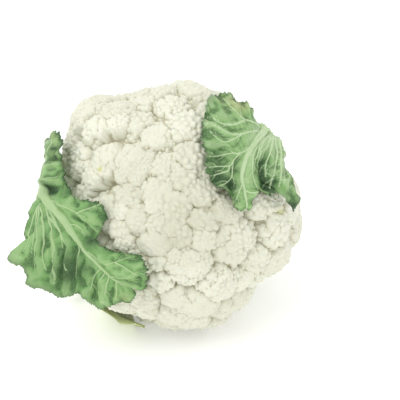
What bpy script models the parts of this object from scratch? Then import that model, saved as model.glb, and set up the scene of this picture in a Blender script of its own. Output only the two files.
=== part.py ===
"""A cauliflower with its leaves cut back, lying on its side with its white face forward and a little up.

Units are metres. The head is built in its own frame: +Z is the axis, from the stem to the middle of the
face, and +Y is the side that ends up on top. It then leans back on its lower edge and on one leaf stalk.
"""

import math

import bmesh
import bpy
import numpy as np
from mathutils import Matrix, Vector

# How the head lies: its axis rises this much above the floor, and its centre is this high.
AXIS_RISE = math.radians(25)
CENTRE = (0.0094, -0.0012, 0.0880)

# The head, measured from its centre. The widths go round the axis from +X towards +Y in equal steps.
FACE_DEPTH = 0.078
BACK_DEPTH = 0.060
WIDTHS_ROUND_THE_AXIS = (
    0.0895, 0.0810, 0.0740, 0.0885, 0.0925, 0.0890, 0.1050, 0.0940,
    0.0890, 0.0930, 0.0960, 0.0880, 0.0920, 0.0925, 0.0810, 0.0910,
)
RIM_SHARE = 0.80
RIM_BACK_SHARE = 0.42
BACK_FULLNESS = 1.15
CORE_SHARE = 0.86

# Places on the face are given as they are seen from the eye, which is on the axis, this far from the centre.
EYE = 0.490
FACE_REACH = 0.085
GOLDEN_ANGLE = math.pi * (3 - math.sqrt(5))

# Florets that fill the face: where each is seen from the eye, right and up of the axis, and its radius.
FACE_FLORETS = (
    (-0.066, 0.066, 0.0190),
    (-0.046, 0.060, 0.0075),
    (-0.033, 0.076, 0.0135),
    (-0.021, 0.057, 0.0135),
    (0.004, 0.066, 0.0150),
    (0.012, 0.084, 0.0140),
    (-0.075, 0.035, 0.0160),
    (-0.069, 0.021, 0.0085),
    (-0.041, 0.035, 0.0160),
    (-0.015, 0.033, 0.0110),
    (0.007, 0.042, 0.0130),
    (-0.075, 0.008, 0.0085),
    (-0.046, 0.007, 0.0120),
    (-0.021, 0.012, 0.0130),
    (0.002, 0.024, 0.0110),
    (0.018, 0.011, 0.0115),
    (-0.007, -0.002, 0.0150),
    (-0.023, -0.001, 0.0070),
    (-0.037, -0.013, 0.0100),
    (-0.022, -0.016, 0.0085),
    (-0.050, -0.005, 0.0070),
    (-0.050, -0.020, 0.0080),
    (-0.006, -0.018, 0.0085),
    (0.020, -0.015, 0.0105),
    (0.001, -0.028, 0.0090),
    (0.019, -0.030, 0.0090),
    (-0.023, -0.033, 0.0130),
    (-0.046, -0.030, 0.0070),
    (0.005, -0.052, 0.0180),
    (0.048, -0.032, 0.0190),
    (0.041, -0.005, 0.0115),
    (0.076, -0.020, 0.0145),
    (0.063, -0.044, 0.0120),
    (0.030, -0.066, 0.0145),
    (0.014, -0.078, 0.0165),
    (-0.005, -0.073, 0.0095),
    (-0.015, -0.063, 0.0075),
    (-0.030, -0.074, 0.0140),
    (-0.020, -0.048, 0.0060),
    (0.063, 0.000, 0.0090),
    (-0.076, -0.063, 0.0130),
    (-0.062, -0.040, 0.0120),
)
# Florets that carry the head: azimuth, colatitude and radius. The floor flattens each of them a little.
RESTING_FLORETS = (
    (254, 100, 0.0150),
    (284, 100, 0.0150),
    (268, 116, 0.0160),
)
FLATTENED = 0.0018
# Other florets fill the gaps down to the rim: places tried, radius, how far out, and how close they may sit.
SPARE_PLACES = 1100
SPARE_RADIUS = (0.0115, 0.0160)
SPARE_STANDS_OUT = (-0.0020, 0.0010)
LOWEST_SPARE = math.radians(118)
CLOSEST_SHARE = 0.62

# Knobs stand out all over the outer side of each floret.
KNOB_SHARE = 0.36
KNOB_RADIUS = (0.0032, 0.0056)
KNOB_UNEVENNESS = (0.78, 1.12)
KNOB_JITTER = 0.09
KNOB_COVER = 7.9
LEAST_KNOBS = 8
KNOBS_GO_DOWN_TO = -0.35

# The branches that carry the florets show behind the rim, and each forks once on its way out.
BRANCHES = 11
BRANCH_BEND = 0.06
GROOVE_DEPTH = 0.0060
BRANCHES_FADE_IN = (-0.35, -0.55)
FORK_COLATITUDES = (math.radians(140), math.radians(124))
BRANCHES_END = (math.radians(157), math.radians(149))
CURD_TRIANGLES = 8600
NEARLY_ON_FLOOR = 0.0004

# Leaves. A blade and its stalk are one sheet, thick along the rib and thin at the margin.
BLADE_THICKNESS = 0.0009
STALK_THICKNESS = 0.0062
ROUND_STALK = 1.12
RIB_HALF_WIDTH = 0.0058
THINNEST_RIB = 0.0012
LOWEST_RIB = 0.08
ROWS_CLOSER_AT_RIB = 1.45

# A blade lies on the knobs and falls away from each at this slope. Its margin waves in and out.
LEAF_CLEARANCE = 0.0009
TENT_SLOPE = 0.55
SOFT_CONTACT = 0.0012
FRILLS_PER_STATION = 0.525
FRILL_NARROWNESS = 1.6

# The stem, and where every stalk starts beside it: angle from the axis, distance from the centre, half width.
STEM_RADIUS = 0.0235
STEM_END = 0.084
STEM_TAPER = 0.92
STEM_EDGE = 0.0012
GAP = 0.0004
STALK_ROOT = (161, 0.0765, 0.0046)

CURD_WHITE = (0.86, 0.84, 0.74)
STEM_PALE = (0.72, 0.76, 0.52)
LEAF_GREEN = (0.22, 0.42, 0.17)
LEAF_YELLOW = (0.50, 0.55, 0.20)
STALK_PALE = (0.66, 0.74, 0.48)


def clear_scene():
    for old in list(bpy.data.objects):
        bpy.data.objects.remove(old)


def unit(vectors):
    return vectors / np.linalg.norm(vectors, axis=-1, keepdims=True)


def ramp(values, start, end):
    """0 up to the start, 1 from the end on, and even between them."""
    return np.clip((values - start) / (end - start), 0, 1)


def around(azimuth, colatitude, reach):
    """A point by its azimuth from +X and its angle from the axis, in degrees, and its distance from the centre."""
    turn, lean = math.radians(azimuth), math.radians(colatitude)
    return reach * np.array([math.cos(turn) * math.sin(lean), math.sin(turn) * math.sin(lean), math.cos(lean)])


def seen(right, up, reach):
    """The near point at that distance from the centre which the eye on the axis sees at (right, up)."""
    across = right**2 + up**2
    closest = EYE**2 / (across + EYE**2)
    spare = closest**2 - (EYE**2 - reach**2) / (across + EYE**2)
    share = closest - math.sqrt(max(0.0, spare))
    return np.array([right * share, up * share, EYE * (1 - share)])


def floor_up():
    """The floor's upward direction in the head's own frame."""
    return np.array([0.0, math.cos(AXIS_RISE), math.sin(AXIS_RISE)])


def kept_above_floor(points, height=0.0, nearly=0.0):
    """Points under that height above the floor, or nearly, are moved straight up or down to it."""
    under = height - (points @ floor_up() + CENTRE[2])
    return points + np.where(under > -nearly, under, 0)[:, None] * floor_up()


def head_width(azimuths):
    """Half the head's width in each direction round the axis, on a smooth closed curve."""
    given = np.array(WIDTHS_ROUND_THE_AXIS)
    place = np.mod(azimuths / (2 * math.pi) * len(given), len(given))
    first = place.astype(int)
    share = place - first
    share = share * share * (3 - 2 * share)
    return given[first] * (1 - share) + given[(first + 1) % len(given)] * share


def outline_reach(directions):
    """How far the head's smooth outline is from the centre: a dome in front, a shallow cone behind the rim."""
    x, y, z = directions.T
    level = np.hypot(x, y)
    width = head_width(np.arctan2(y, x))
    depth = np.where(z > 0, FACE_DEPTH, BACK_FULLNESS * width)
    dome = 1 / np.sqrt((level / width) ** 2 + (z / depth) ** 2)
    rim_level, rim_back = RIM_SHARE * width, RIM_BACK_SHARE * width
    slope = (BACK_DEPTH - rim_back) / (rim_level - STEM_RADIUS)
    cone = (rim_back + slope * rim_level) / np.maximum(slope * level - z, 1e-6)
    flat = BACK_DEPTH / np.maximum(-z, 1e-6)
    behind = np.minimum(cone, flat)
    return np.where(z < 0, np.minimum(dome, behind), dome)


def floret_on_outline(direction, radius, stands_out=0.0):
    reach = outline_reach(direction[None])[0] + stands_out - radius
    return (*(direction * reach), radius)


def lay_out_florets(draw):
    """All the florets as rows of centre and radius: those it rests on, those of the face, then those in the gaps."""
    florets = []
    for azimuth, colatitude, radius in RESTING_FLORETS:
        direction = around(azimuth, colatitude, 1.0)
        reach = (CENTRE[2] - radius + FLATTENED) / -(direction @ floor_up())
        florets.append((*(direction * reach), radius))
    for right, up, radius in FACE_FLORETS:
        florets.append(floret_on_outline(unit(seen(right, up, FACE_REACH)), radius))
    for i in range(SPARE_PLACES):
        height = 1 - (i + 0.5) / SPARE_PLACES * (1 - math.cos(LOWEST_SPARE))
        direction = around(i * math.degrees(GOLDEN_ANGLE), math.degrees(math.acos(height)), 1.0)
        radius = draw.uniform(*SPARE_RADIUS)
        row = floret_on_outline(direction, radius, draw.uniform(*SPARE_STANDS_OUT))
        if all(math.dist(row[:3], other[:3]) > CLOSEST_SHARE * (radius + other[3]) for other in florets):
            florets.append(row)
    return np.array(florets)


def knob_radius(floret_radius):
    return np.clip(KNOB_SHARE * floret_radius, *KNOB_RADIUS)


def knobs_of(floret, draw):
    """The knobs that stand out of one floret, on a spiral over the side of it that faces out."""
    centre, radius = floret[:3], floret[3]
    knob = knob_radius(radius)
    count = max(LEAST_KNOBS, int(KNOB_COVER * (radius / knob - 1) ** 2))
    steps = (np.arange(count) + 0.5) / count
    heights = 1 - (1 - KNOBS_GO_DOWN_TO) * steps
    turns = np.arange(count) * GOLDEN_ANGLE + draw.uniform(0, 2 * math.pi)
    level = np.sqrt(1 - heights**2)
    local = np.stack([level * np.cos(turns), level * np.sin(turns), heights], 1)
    outward = Vector(centre).normalized()
    turned = local @ np.array(outward.to_track_quat("Z", "Y").to_matrix()).T
    turned = unit(turned + draw.normal(0, KNOB_JITTER, turned.shape))
    sizes = knob * draw.uniform(*KNOB_UNEVENNESS, count)
    return np.column_stack([centre + turned * (radius - sizes[:, None]), sizes])


def lay_out_curd():
    """Florets a little inside their knobs, and the knobs, as rows of centre and radius."""
    draw = np.random.default_rng(7)
    florets = lay_out_florets(draw)
    knobs = np.concatenate([knobs_of(floret, draw) for floret in florets])
    bodies = florets.copy()
    bodies[:, 3] -= 0.5 * knob_radius(florets[:, 3])
    return bodies, knobs


def spheres_reach(directions, spheres):
    """How far each direction runs before it leaves the outermost sphere that it meets."""
    centres, radii = spheres[:, :3], spheres[:, 3]
    spare = radii**2 - (centres**2).sum(1)
    reach = np.zeros(len(directions))
    for start in range(0, len(directions), 4096):
        along = directions[start : start + 4096] @ centres.T
        inside = spare + along**2
        left = np.where((inside > 0) & (along > 0), along + np.sqrt(np.maximum(inside, 0)), 0)
        reach[start : start + 4096] = left.max(1)
    return reach


def core_reach(directions):
    """The body under the florets: well inside them in front, and the branches that carry them behind the rim."""
    outline = outline_reach(directions)
    behind = ramp(directions[:, 2], *BRANCHES_FADE_IN)
    turns = np.arctan2(directions[:, 1], directions[:, 0]) / (2 * math.pi)
    lean = np.arccos(np.clip(directions[:, 2], -1, 1))
    forked = ramp(lean, *FORK_COLATITUDES)
    groove = 0
    for branches, share in ((BRANCHES, 1 - 0.5 * forked), (2 * BRANCHES, 0.5 * forked)):
        across = 2 * np.mod(turns * branches + BRANCH_BEND * np.sin(9 * lean + 20 * turns), 1) - 1
        groove = groove + share * (1 - np.sqrt(1 - across**2))
    grooved = behind * ramp(lean, *BRANCHES_END)
    return outline * (CORE_SHARE + (1 - CORE_SHARE) * behind) - GROOVE_DEPTH * groove * grooved


def resting_reach(directions, knobs):
    """How far out a leaf has to be to lie on the knobs: it falls away from each by TENT_SLOPE at most."""
    length = np.linalg.norm(knobs[:, :3], axis=1)
    tops = length + knobs[:, 3]
    angle = np.arccos(np.clip(directions @ (knobs[:, :3] / length[:, None]).T, -1, 1))
    away = np.maximum(angle * tops - knobs[:, 3], 0)
    return np.maximum((tops - TENT_SLOPE * away).max(1), core_reach(directions) + 0.001)


def finish_object(mesh, name, colour, roughness):
    """A named object with its own material, smooth but for its sharp edges."""
    material = bpy.data.materials.new(name)
    material.use_nodes = True
    shader = material.node_tree.nodes["Principled BSDF"]
    shader.inputs["Base Color"].default_value = (*colour, 1)
    shader.inputs["Roughness"].default_value = roughness
    mesh.materials.append(material)
    mesh.shade_smooth()
    mesh.set_sharp_from_angle(angle=math.radians(50))
    made = bpy.data.objects.new(name, mesh)
    bpy.context.scene.collection.objects.link(made)
    return made


def coordinates(mesh):
    flat = np.empty(len(mesh.vertices) * 3, np.float32)
    mesh.vertices.foreach_get("co", flat)
    return flat.reshape(-1, 3).astype(float)


def set_coordinates(mesh, points):
    mesh.vertices.foreach_set("co", points.astype(np.float32).ravel())
    mesh.update()


def build_curd(bodies, knobs):
    """The head's white mass of florets and knobs, as one solid, flattened where it lies on the floor."""
    form = bmesh.new()
    bmesh.ops.create_icosphere(form, subdivisions=7, radius=1.0)
    mesh = bpy.data.meshes.new("curd")
    form.to_mesh(mesh)
    form.free()
    directions = unit(coordinates(mesh))
    reach = np.maximum(spheres_reach(directions, np.concatenate([bodies, knobs])), core_reach(directions))
    set_coordinates(mesh, kept_above_floor(directions * reach[:, None]))
    made = finish_object(mesh, "curd", CURD_WHITE, 0.65)
    thin = made.modifiers.new("thin", "DECIMATE")
    thin.ratio = CURD_TRIANGLES / len(mesh.polygons)
    seen_by = bpy.context.evaluated_depsgraph_get()
    made.data = bpy.data.meshes.new_from_object(made.evaluated_get(seen_by))
    made.data.name = "curd"
    made.modifiers.clear()
    set_coordinates(made.data, kept_above_floor(coordinates(made.data), nearly=NEARLY_ON_FLOOR))
    return made


def smooth_path(points, places):
    """Where a smooth curve through the points is at each place: 0 is the first point, 1 the second."""
    points = np.array(points)
    padded = np.concatenate([2 * points[:1] - points[1:2], points, 2 * points[-1:] - points[-2:-1]])
    first = np.clip(places.astype(int), 0, len(points) - 2)
    t = (places - first)[:, None]
    a, b, c, d = (padded[first + k] for k in range(4))
    return 0.5 * (2 * b + (c - a) * t + (2 * a - 5 * b + 4 * c - d) * t**2 + (3 * b - a - 3 * c + d) * t**3)


def stalk_station(rib, after, half_width):
    """The rib point of a stalk and its two edges, set off square to the way the stalk runs."""
    square = np.cross(after - rib, rib)
    square = square / np.linalg.norm(square) * half_width
    return rib, rib - square, rib + square


def blade_points(stations, columns, rows, knobs, frill_height, first_blade):
    """Both faces of a leaf: columns run from the stem to the tip, and rows from one margin to the other."""
    places = np.linspace(0, len(stations) - 1, columns + 1)
    rib, left, right = (smooth_path([s[k] for s in stations], places) for k in range(3))
    across = np.linspace(-1, 1, rows + 1)
    across = np.sign(across) * np.abs(across) ** ROWS_CLOSER_AT_RIB
    side = np.where(across < 0, 0, 1)
    share = np.abs(across)[None, :, None]
    margin = np.stack([left, right])[side].transpose(1, 0, 2)
    points = rib[:, None] * (1 - share) + margin * share
    in_blade = ramp(places, first_blade, max(len(stations) - 1, first_blade + 1))

    length = np.linalg.norm(rib, axis=1)[:, None] * (1 - share[..., 0])
    length = length + np.linalg.norm(margin, axis=2) * share[..., 0]
    frill = frill_height * ramp(in_blade, 0, 0.12)
    wave = np.sin(2 * math.pi * FRILLS_PER_STATION * places[:, None] + 1.3 * side)
    length = length + frill[:, None] * wave * share[..., 0] ** FRILL_NARROWNESS
    directions = unit(points)
    rest = resting_reach(directions.reshape(-1, 3), knobs).reshape(length.shape) + LEAF_CLEARANCE
    apart = length - rest
    inner = rest + 0.5 * (apart + np.sqrt(apart**2 + SOFT_CONTACT**2))

    from_rib = np.linalg.norm(points - rib[:, None], axis=2)
    stalk_half = ROUND_STALK * np.linalg.norm(left - rib, axis=1)
    half = np.minimum(stalk_half, (1 - in_blade) ** 1.2 * RIB_HALF_WIDTH + THINNEST_RIB)
    height = (STALK_THICKNESS - BLADE_THICKNESS) * (LOWEST_RIB + (1 - LOWEST_RIB) * (1 - in_blade) ** 1.6)
    profile = np.clip(1 - (from_rib / half[:, None]) ** 2, 0, 1)
    outer = inner + BLADE_THICKNESS + height[:, None] * profile
    return directions * inner[..., None], directions * outer[..., None]


def build_leaf(name, stations, colour, knobs, columns, rows, frill_height, first_blade):
    """A leaf as one closed sheet. Its first stations are the stalk, whose thickness runs on as the rib."""
    form = bmesh.new()
    bmesh.ops.create_grid(form, x_segments=columns, y_segments=rows, size=1.0)
    bmesh.ops.triangulate(form, faces=form.faces)
    under_side = set(form.verts)
    bmesh.ops.extrude_face_region(form, geom=form.faces[:], use_keep_orig=True)
    inner, outer = blade_points(stations, columns, rows, knobs, frill_height, first_blade)
    inner = kept_above_floor(inner.reshape(-1, 3), BLADE_THICKNESS).reshape(inner.shape)
    outer = kept_above_floor(outer.reshape(-1, 3)).reshape(outer.shape)
    for vert in form.verts:
        column = round((vert.co.x + 1) / 2 * columns)
        row = round((vert.co.y + 1) / 2 * rows)
        vert.co = (inner if vert in under_side else outer)[column, row]
    bmesh.ops.recalc_face_normals(form, faces=form.faces)
    if form.calc_volume(signed=True) < 0:
        bmesh.ops.reverse_faces(form, faces=form.faces)
    mesh = bpy.data.meshes.new(name)
    form.to_mesh(mesh)
    form.free()
    return finish_object(mesh, name, colour, 0.5)


def stalk_run(*places):
    """Stations of a stalk from its root at the stem: azimuth, colatitude, reach and half width of each."""
    root_colatitude, root_reach, root_half = STALK_ROOT
    places = [(places[0][0], root_colatitude, root_reach, root_half), *places]
    ribs = [around(*place[:3]) for place in places]
    ribs.append(2 * ribs[-1] - ribs[-2])
    return [stalk_station(ribs[i], ribs[i + 1], place[3]) for i, place in enumerate(places)]


def left_leaf_stations():
    """The leaf that comes round the left side and falls over the lower left of the face: rib, upper, lower."""
    stalk = stalk_run((186, 144, 0.087, 0.0085), (188, 126, 0.098, 0.0100))
    return stalk + [
        (around(186, 111, 0.101), around(178, 108, 0.101), around(194, 110, 0.101)),
        (around(178, 96, 0.100), around(163, 88, 0.099), around(185, 96, 0.101)),
        (seen(-0.099, 0.010, 0.100), seen(-0.091, 0.052, 0.104), seen(-0.103, 0.003, 0.102)),
        (seen(-0.096, 0.005, 0.100), seen(-0.086, 0.042, 0.100), seen(-0.107, -0.005, 0.108)),
        (seen(-0.094, 0.001, 0.100), seen(-0.086, 0.032, 0.098), seen(-0.110, -0.011, 0.112)),
        (seen(-0.090, -0.003, 0.099), seen(-0.084, 0.023, 0.095), seen(-0.114, -0.024, 0.118)),
        (seen(-0.087, -0.007, 0.098), seen(-0.082, 0.014, 0.093), seen(-0.120, -0.036, 0.126)),
        (seen(-0.083, -0.012, 0.097), seen(-0.075, 0.006, 0.091), seen(-0.117, -0.046, 0.127)),
        (seen(-0.080, -0.017, 0.096), seen(-0.064, 0.003, 0.087), seen(-0.111, -0.055, 0.125)),
        (seen(-0.076, -0.023, 0.095), seen(-0.055, -0.001, 0.084), seen(-0.098, -0.060, 0.118)),
        (seen(-0.073, -0.028, 0.094), seen(-0.055, -0.015, 0.084), seen(-0.086, -0.065, 0.111)),
        (seen(-0.070, -0.033, 0.093), seen(-0.059, -0.025, 0.086), seen(-0.076, -0.063, 0.105)),
        (seen(-0.065, -0.038, 0.092), seen(-0.050, -0.033, 0.086), seen(-0.070, -0.064, 0.102)),
        (seen(-0.060, -0.043, 0.091), seen(-0.037, -0.033, 0.085), seen(-0.064, -0.070, 0.101)),
        (seen(-0.055, -0.048, 0.091), seen(-0.027, -0.038, 0.085), seen(-0.056, -0.073, 0.099)),
        (seen(-0.050, -0.053, 0.091), seen(-0.024, -0.047, 0.086), seen(-0.046, -0.071, 0.096)),
        (seen(-0.044, -0.057, 0.091), seen(-0.024, -0.056, 0.088), seen(-0.036, -0.068, 0.093)),
        (seen(-0.037, -0.060, 0.091), seen(-0.028, -0.060, 0.090), seen(-0.032, -0.064, 0.092)),
    ]


def right_leaf_stations():
    """The leaf that comes up behind the upper right edge and folds over it: rib, right side, left fan."""
    stalk = stalk_run((44, 144, 0.085, 0.0085), (43, 126, 0.086, 0.0095))
    blade = [
        (around(43, 111, 0.0830), around(50, 111, 0.083), around(36, 111, 0.0840)),
        (around(42, 96, 0.0780), around(48, 96, 0.079), around(36, 96, 0.0810)),
        (around(42, 84, 0.0770), around(46, 84, 0.079), around(37, 84, 0.0810)),
        (seen(0.059, 0.053, 0.0800), seen(0.057, 0.058, 0.0810), seen(0.066, 0.052, 0.0840)),
        (seen(0.058, 0.051, 0.0830), seen(0.055, 0.062, 0.0840), seen(0.071, 0.049, 0.0865)),
        (seen(0.056, 0.049, 0.0845), seen(0.050, 0.067, 0.0860), seen(0.074, 0.042, 0.0870)),
        (seen(0.054, 0.047, 0.0860), seen(0.049, 0.074, 0.0895), seen(0.076, 0.033, 0.0880)),
        (seen(0.052, 0.044, 0.0860), seen(0.047, 0.079, 0.0925), seen(0.078, 0.024, 0.0890)),
        (seen(0.050, 0.041, 0.0860), seen(0.038, 0.081, 0.0910), seen(0.081, 0.014, 0.0910)),
        (seen(0.049, 0.038, 0.0860), seen(0.029, 0.083, 0.0895), seen(0.085, 0.004, 0.0930)),
        (seen(0.047, 0.035, 0.0855), seen(0.020, 0.075, 0.0870), seen(0.082, -0.002, 0.0925)),
        (seen(0.046, 0.031, 0.0850), seen(0.016, 0.063, 0.0855), seen(0.076, 0.002, 0.0900)),
        (seen(0.045, 0.027, 0.0845), seen(0.015, 0.050, 0.0840), seen(0.070, 0.004, 0.0885)),
        (seen(0.044, 0.023, 0.0840), seen(0.017, 0.039, 0.0830), seen(0.065, 0.005, 0.0870)),
        (seen(0.044, 0.018, 0.0840), seen(0.018, 0.029, 0.0820), seen(0.061, 0.006, 0.0860)),
        (seen(0.045, 0.014, 0.0835), seen(0.021, 0.020, 0.0820), seen(0.058, 0.005, 0.0855)),
        (seen(0.046, 0.010, 0.0830), seen(0.027, 0.013, 0.0820), seen(0.057, 0.003, 0.0850)),
        (seen(0.047, 0.005, 0.0830), seen(0.034, 0.007, 0.0820), seen(0.055, 0.001, 0.0840)),
        (seen(0.048, 0.001, 0.0825), seen(0.038, -0.001, 0.0820), seen(0.052, -0.002, 0.0830)),
        (seen(0.048, -0.002, 0.0825), seen(0.044, -0.005, 0.0820), seen(0.049, -0.004, 0.0830)),
    ]
    return stalk + [(rib, side, fan) for rib, fan, side in blade]


def under_leaf_stations():
    """The small yellowing leaf that is pressed under the lower left edge: rib, left, right."""
    stalk = stalk_run((238, 144, 0.085, 0.0060), (235, 127, 0.091, 0.0070))
    return stalk + [
        (around(234, 116, 0.092), around(227, 118, 0.092), around(240, 117, 0.091)),
        (around(235, 107, 0.093), around(225, 109, 0.094), around(243, 108, 0.0910)),
        (around(237, 99, 0.0940), around(226, 102, 0.095), around(247, 100, 0.0905)),
        (around(240, 93, 0.0935), around(229, 96, 0.095), around(250, 94, 0.0900)),
        (around(244, 88, 0.0925), around(235, 90, 0.0945), around(252, 89, 0.0895)),
        (around(249, 84, 0.0915), around(243, 85, 0.0930), around(253, 85, 0.0895)),
    ]


# Cut stalks: azimuth, and the cut end's colatitude and distance from the centre.
CUT_HALF_WIDTH = 0.0100
CUT_STALKS = (
    (212, 104, 0.114),
    (268, 134, 0.096),
    (300, 127, 0.094),
    (335, 124, 0.097),
    (10, 121, 0.098),
    (80, 122, 0.099),
    (118, 120, 0.105),
    (153, 122, 0.101),
)


def build_cut_stalk(name, azimuth, colatitude, reach, knobs):
    """What is left of a cut leaf: a thick pale stalk that lies along the back of the head."""
    root_colatitude, root_reach, root_half = STALK_ROOT
    places = []
    for share in (0.25, 0.5, 0.75, 1.0):
        lean = root_colatitude + (colatitude - root_colatitude) * share
        lift = root_reach + (reach - root_reach) * share**1.2
        places.append((azimuth, lean, lift, root_half + (CUT_HALF_WIDTH - root_half) * share**0.7))
    stations = stalk_run(*places)
    return build_leaf(name, stations, STALK_PALE, knobs, 10, 8, 0.0, first_blade=len(stations))


def build_stem():
    """The short thick stem, cut flat across and a little narrower at the cut."""
    form = bmesh.new()
    top, end = -(BACK_DEPTH + GAP), -STEM_END
    bmesh.ops.create_cone(
        form,
        cap_ends=True,
        segments=32,
        radius1=STEM_RADIUS * STEM_TAPER,
        radius2=STEM_RADIUS,
        depth=top - end,
        matrix=Matrix.Translation((0, 0, (top + end) / 2)),
    )
    rim = [edge for edge in form.edges if all(v.co.z < end + 1e-6 for v in edge.verts)]
    bmesh.ops.bevel(form, geom=rim, offset=STEM_EDGE, segments=2, profile=0.5, affect="EDGES", material=-1)
    mesh = bpy.data.meshes.new("stem")
    form.to_mesh(mesh)
    form.free()
    return finish_object(mesh, "stem", STEM_PALE, 0.6)


def main():
    clear_scene()
    bodies, knobs = lay_out_curd()
    pieces = [
        build_curd(bodies, knobs),
        build_stem(),
        build_leaf("leaf_left", left_leaf_stations(), LEAF_GREEN, knobs, 56, 10, 0.0026, first_blade=3),
        build_leaf("leaf_right", right_leaf_stations(), LEAF_GREEN, knobs, 54, 10, 0.0020, first_blade=6),
        build_leaf("leaf_under", under_leaf_stations(), LEAF_YELLOW, knobs, 24, 8, 0.0008, first_blade=3),
    ]
    for number, (azimuth, colatitude, reach) in enumerate(CUT_STALKS, start=1):
        pieces.append(build_cut_stalk(f"stalk_{number}", azimuth, colatitude, reach, knobs))
    head = bpy.data.objects.new("head", None)
    bpy.context.scene.collection.objects.link(head)
    head.location = CENTRE
    head.rotation_euler = (math.pi / 2 - AXIS_RISE, 0, 0)
    for piece in pieces:
        piece.parent = head


main()
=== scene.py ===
"""Looks of a cauliflower with its leaves cut back, lying on its side.

The head is shaped in its own frame: +Z is its axis, from the stem to the middle of the face, and +Y
is the side that ends up on top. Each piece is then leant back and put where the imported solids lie.
Units are metres, and the long tables of places are written in millimetres.
"""

import math
from types import SimpleNamespace

import bmesh
import bpy
import numpy as np
from mathutils import Matrix, Vector


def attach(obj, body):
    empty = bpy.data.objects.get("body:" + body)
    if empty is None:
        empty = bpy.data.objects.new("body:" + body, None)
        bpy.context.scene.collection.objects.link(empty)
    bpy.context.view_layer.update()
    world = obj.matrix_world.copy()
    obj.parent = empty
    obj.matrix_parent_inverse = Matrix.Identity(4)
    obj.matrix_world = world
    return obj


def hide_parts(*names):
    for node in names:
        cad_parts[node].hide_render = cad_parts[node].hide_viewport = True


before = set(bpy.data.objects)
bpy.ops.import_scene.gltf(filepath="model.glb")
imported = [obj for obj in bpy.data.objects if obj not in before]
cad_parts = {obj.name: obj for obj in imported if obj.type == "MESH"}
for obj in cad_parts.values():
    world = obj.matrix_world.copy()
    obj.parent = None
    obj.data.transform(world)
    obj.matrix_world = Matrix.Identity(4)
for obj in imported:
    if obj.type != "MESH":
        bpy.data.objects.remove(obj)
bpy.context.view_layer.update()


def in_metres(rows):
    """A nest of rows in millimetres, turned into metres."""
    if isinstance(rows, tuple):
        return tuple(in_metres(row) for row in rows)
    return rows / 1000


# How the head lies: its axis rises this much above the floor, and its centre is this high.
AXIS_RISE = math.radians(25)
CENTRE = (0.0094, -0.0012, 0.0880)
HEAD = Matrix.Translation(CENTRE) @ Matrix.Rotation(math.pi / 2 - AXIS_RISE, 4, "X")

# The head, measured from its centre. The widths go round the axis from +X towards +Y in equal steps.
FACE_DEPTH = 0.078
BACK_DEPTH = 0.060
WIDTHS_ROUND_THE_AXIS = (
    0.0895, 0.0810, 0.0740, 0.0885, 0.0925, 0.0890, 0.1050, 0.0940,
    0.0890, 0.0930, 0.0960, 0.0880, 0.0920, 0.0925, 0.0810, 0.0910,
)
RIM_SHARE = 0.80
RIM_BACK_SHARE = 0.42
BACK_FULLNESS = 1.15
CORE_SHARE = 0.86

# Places on the face are given as they are seen from the eye, which is on the axis, this far from the centre.
EYE = 0.490
FACE_REACH = 0.085
GOLDEN_ANGLE = math.pi * (3 - math.sqrt(5))

# Florets that fill the face: where the eye sees each, right and up of the axis, and its radius.
FACE_FLORETS = in_metres((
    (-66, 66, 19), (-46, 60, 7.5), (-33, 76, 13.5), (-21, 57, 13.5), (4, 66, 15), (12, 84, 14),
    (-75, 35, 16), (-69, 21, 8.5), (-41, 35, 16), (-15, 33, 11), (7, 42, 13), (-75, 8, 8.5),
    (-46, 7, 12), (-21, 12, 13), (2, 24, 11), (18, 11, 11.5), (-7, -2, 15), (-23, -1, 7),
    (-37, -13, 10), (-22, -16, 8.5), (-50, -5, 7), (-50, -20, 8), (-6, -18, 8.5), (20, -15, 10.5),
    (1, -28, 9), (19, -30, 9), (-23, -33, 13), (-46, -30, 7), (5, -52, 18), (48, -32, 19),
    (41, -5, 11.5), (76, -20, 14.5), (63, -44, 12), (30, -66, 14.5), (14, -78, 16.5), (-5, -73, 9.5),
    (-15, -63, 7.5), (-30, -74, 14), (-20, -48, 6), (63, 0, 9), (-76, -63, 13), (-62, -40, 12),
))
# Florets that carry the head: azimuth, colatitude and radius. The floor flattens each of them a little.
RESTING_FLORETS = (
    (254, 100, 0.0150),
    (284, 100, 0.0150),
    (268, 116, 0.0160),
)
FLATTENED = 0.0018
# Other florets fill the gaps down to the rim: places tried, radius, how far out, and how close they may sit.
SPARE_PLACES = 1100
SPARE_RADIUS = (0.0115, 0.0160)
SPARE_STANDS_OUT = (-0.0020, 0.0010)
LOWEST_SPARE = math.radians(118)
CLOSEST_SHARE = 0.62

# Knobs stand out all over the outer side of each floret.
KNOB_SHARE = 0.36
KNOB_RADIUS = (0.0032, 0.0056)
KNOB_UNEVENNESS = (0.78, 1.12)
KNOB_JITTER = 0.09
KNOB_COVER = 7.9
LEAST_KNOBS = 8
KNOBS_GO_DOWN_TO = -0.35

# Beads cover each floret. Florets differ in how large their beads are and how much they stand out.
BEAD_RADIUS = (0.0011, 0.0023)
BEAD_UNEVENNESS = (0.70, 1.25)
BEAD_COVER = 1.45
BEAD_JITTER = 0.30
BEADS_GO_DOWN_TO = -0.20
BEAD_HEIGHT = (0.40, 0.68)
KNOBS_SINK = 0.0007
SMOOTH_AND_KNOBBLY = (0.34, 0.52)
FLATTER = 1.25
CREASE_DEPTH = 0.0075
CREASE_STEEPNESS = 1.85
SOFT_JOIN = 0.0028
TIGHT_JOIN = 0.0003
BEAD_JOIN = 0.00030
CORE_JOIN = 0.0010
# The skin is bent sideways by waves of these sizes, this far, so that no floret is a true sphere.
SKIN_BENDS = ((0.009, 0.0007), (0.004, 0.0003))

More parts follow.
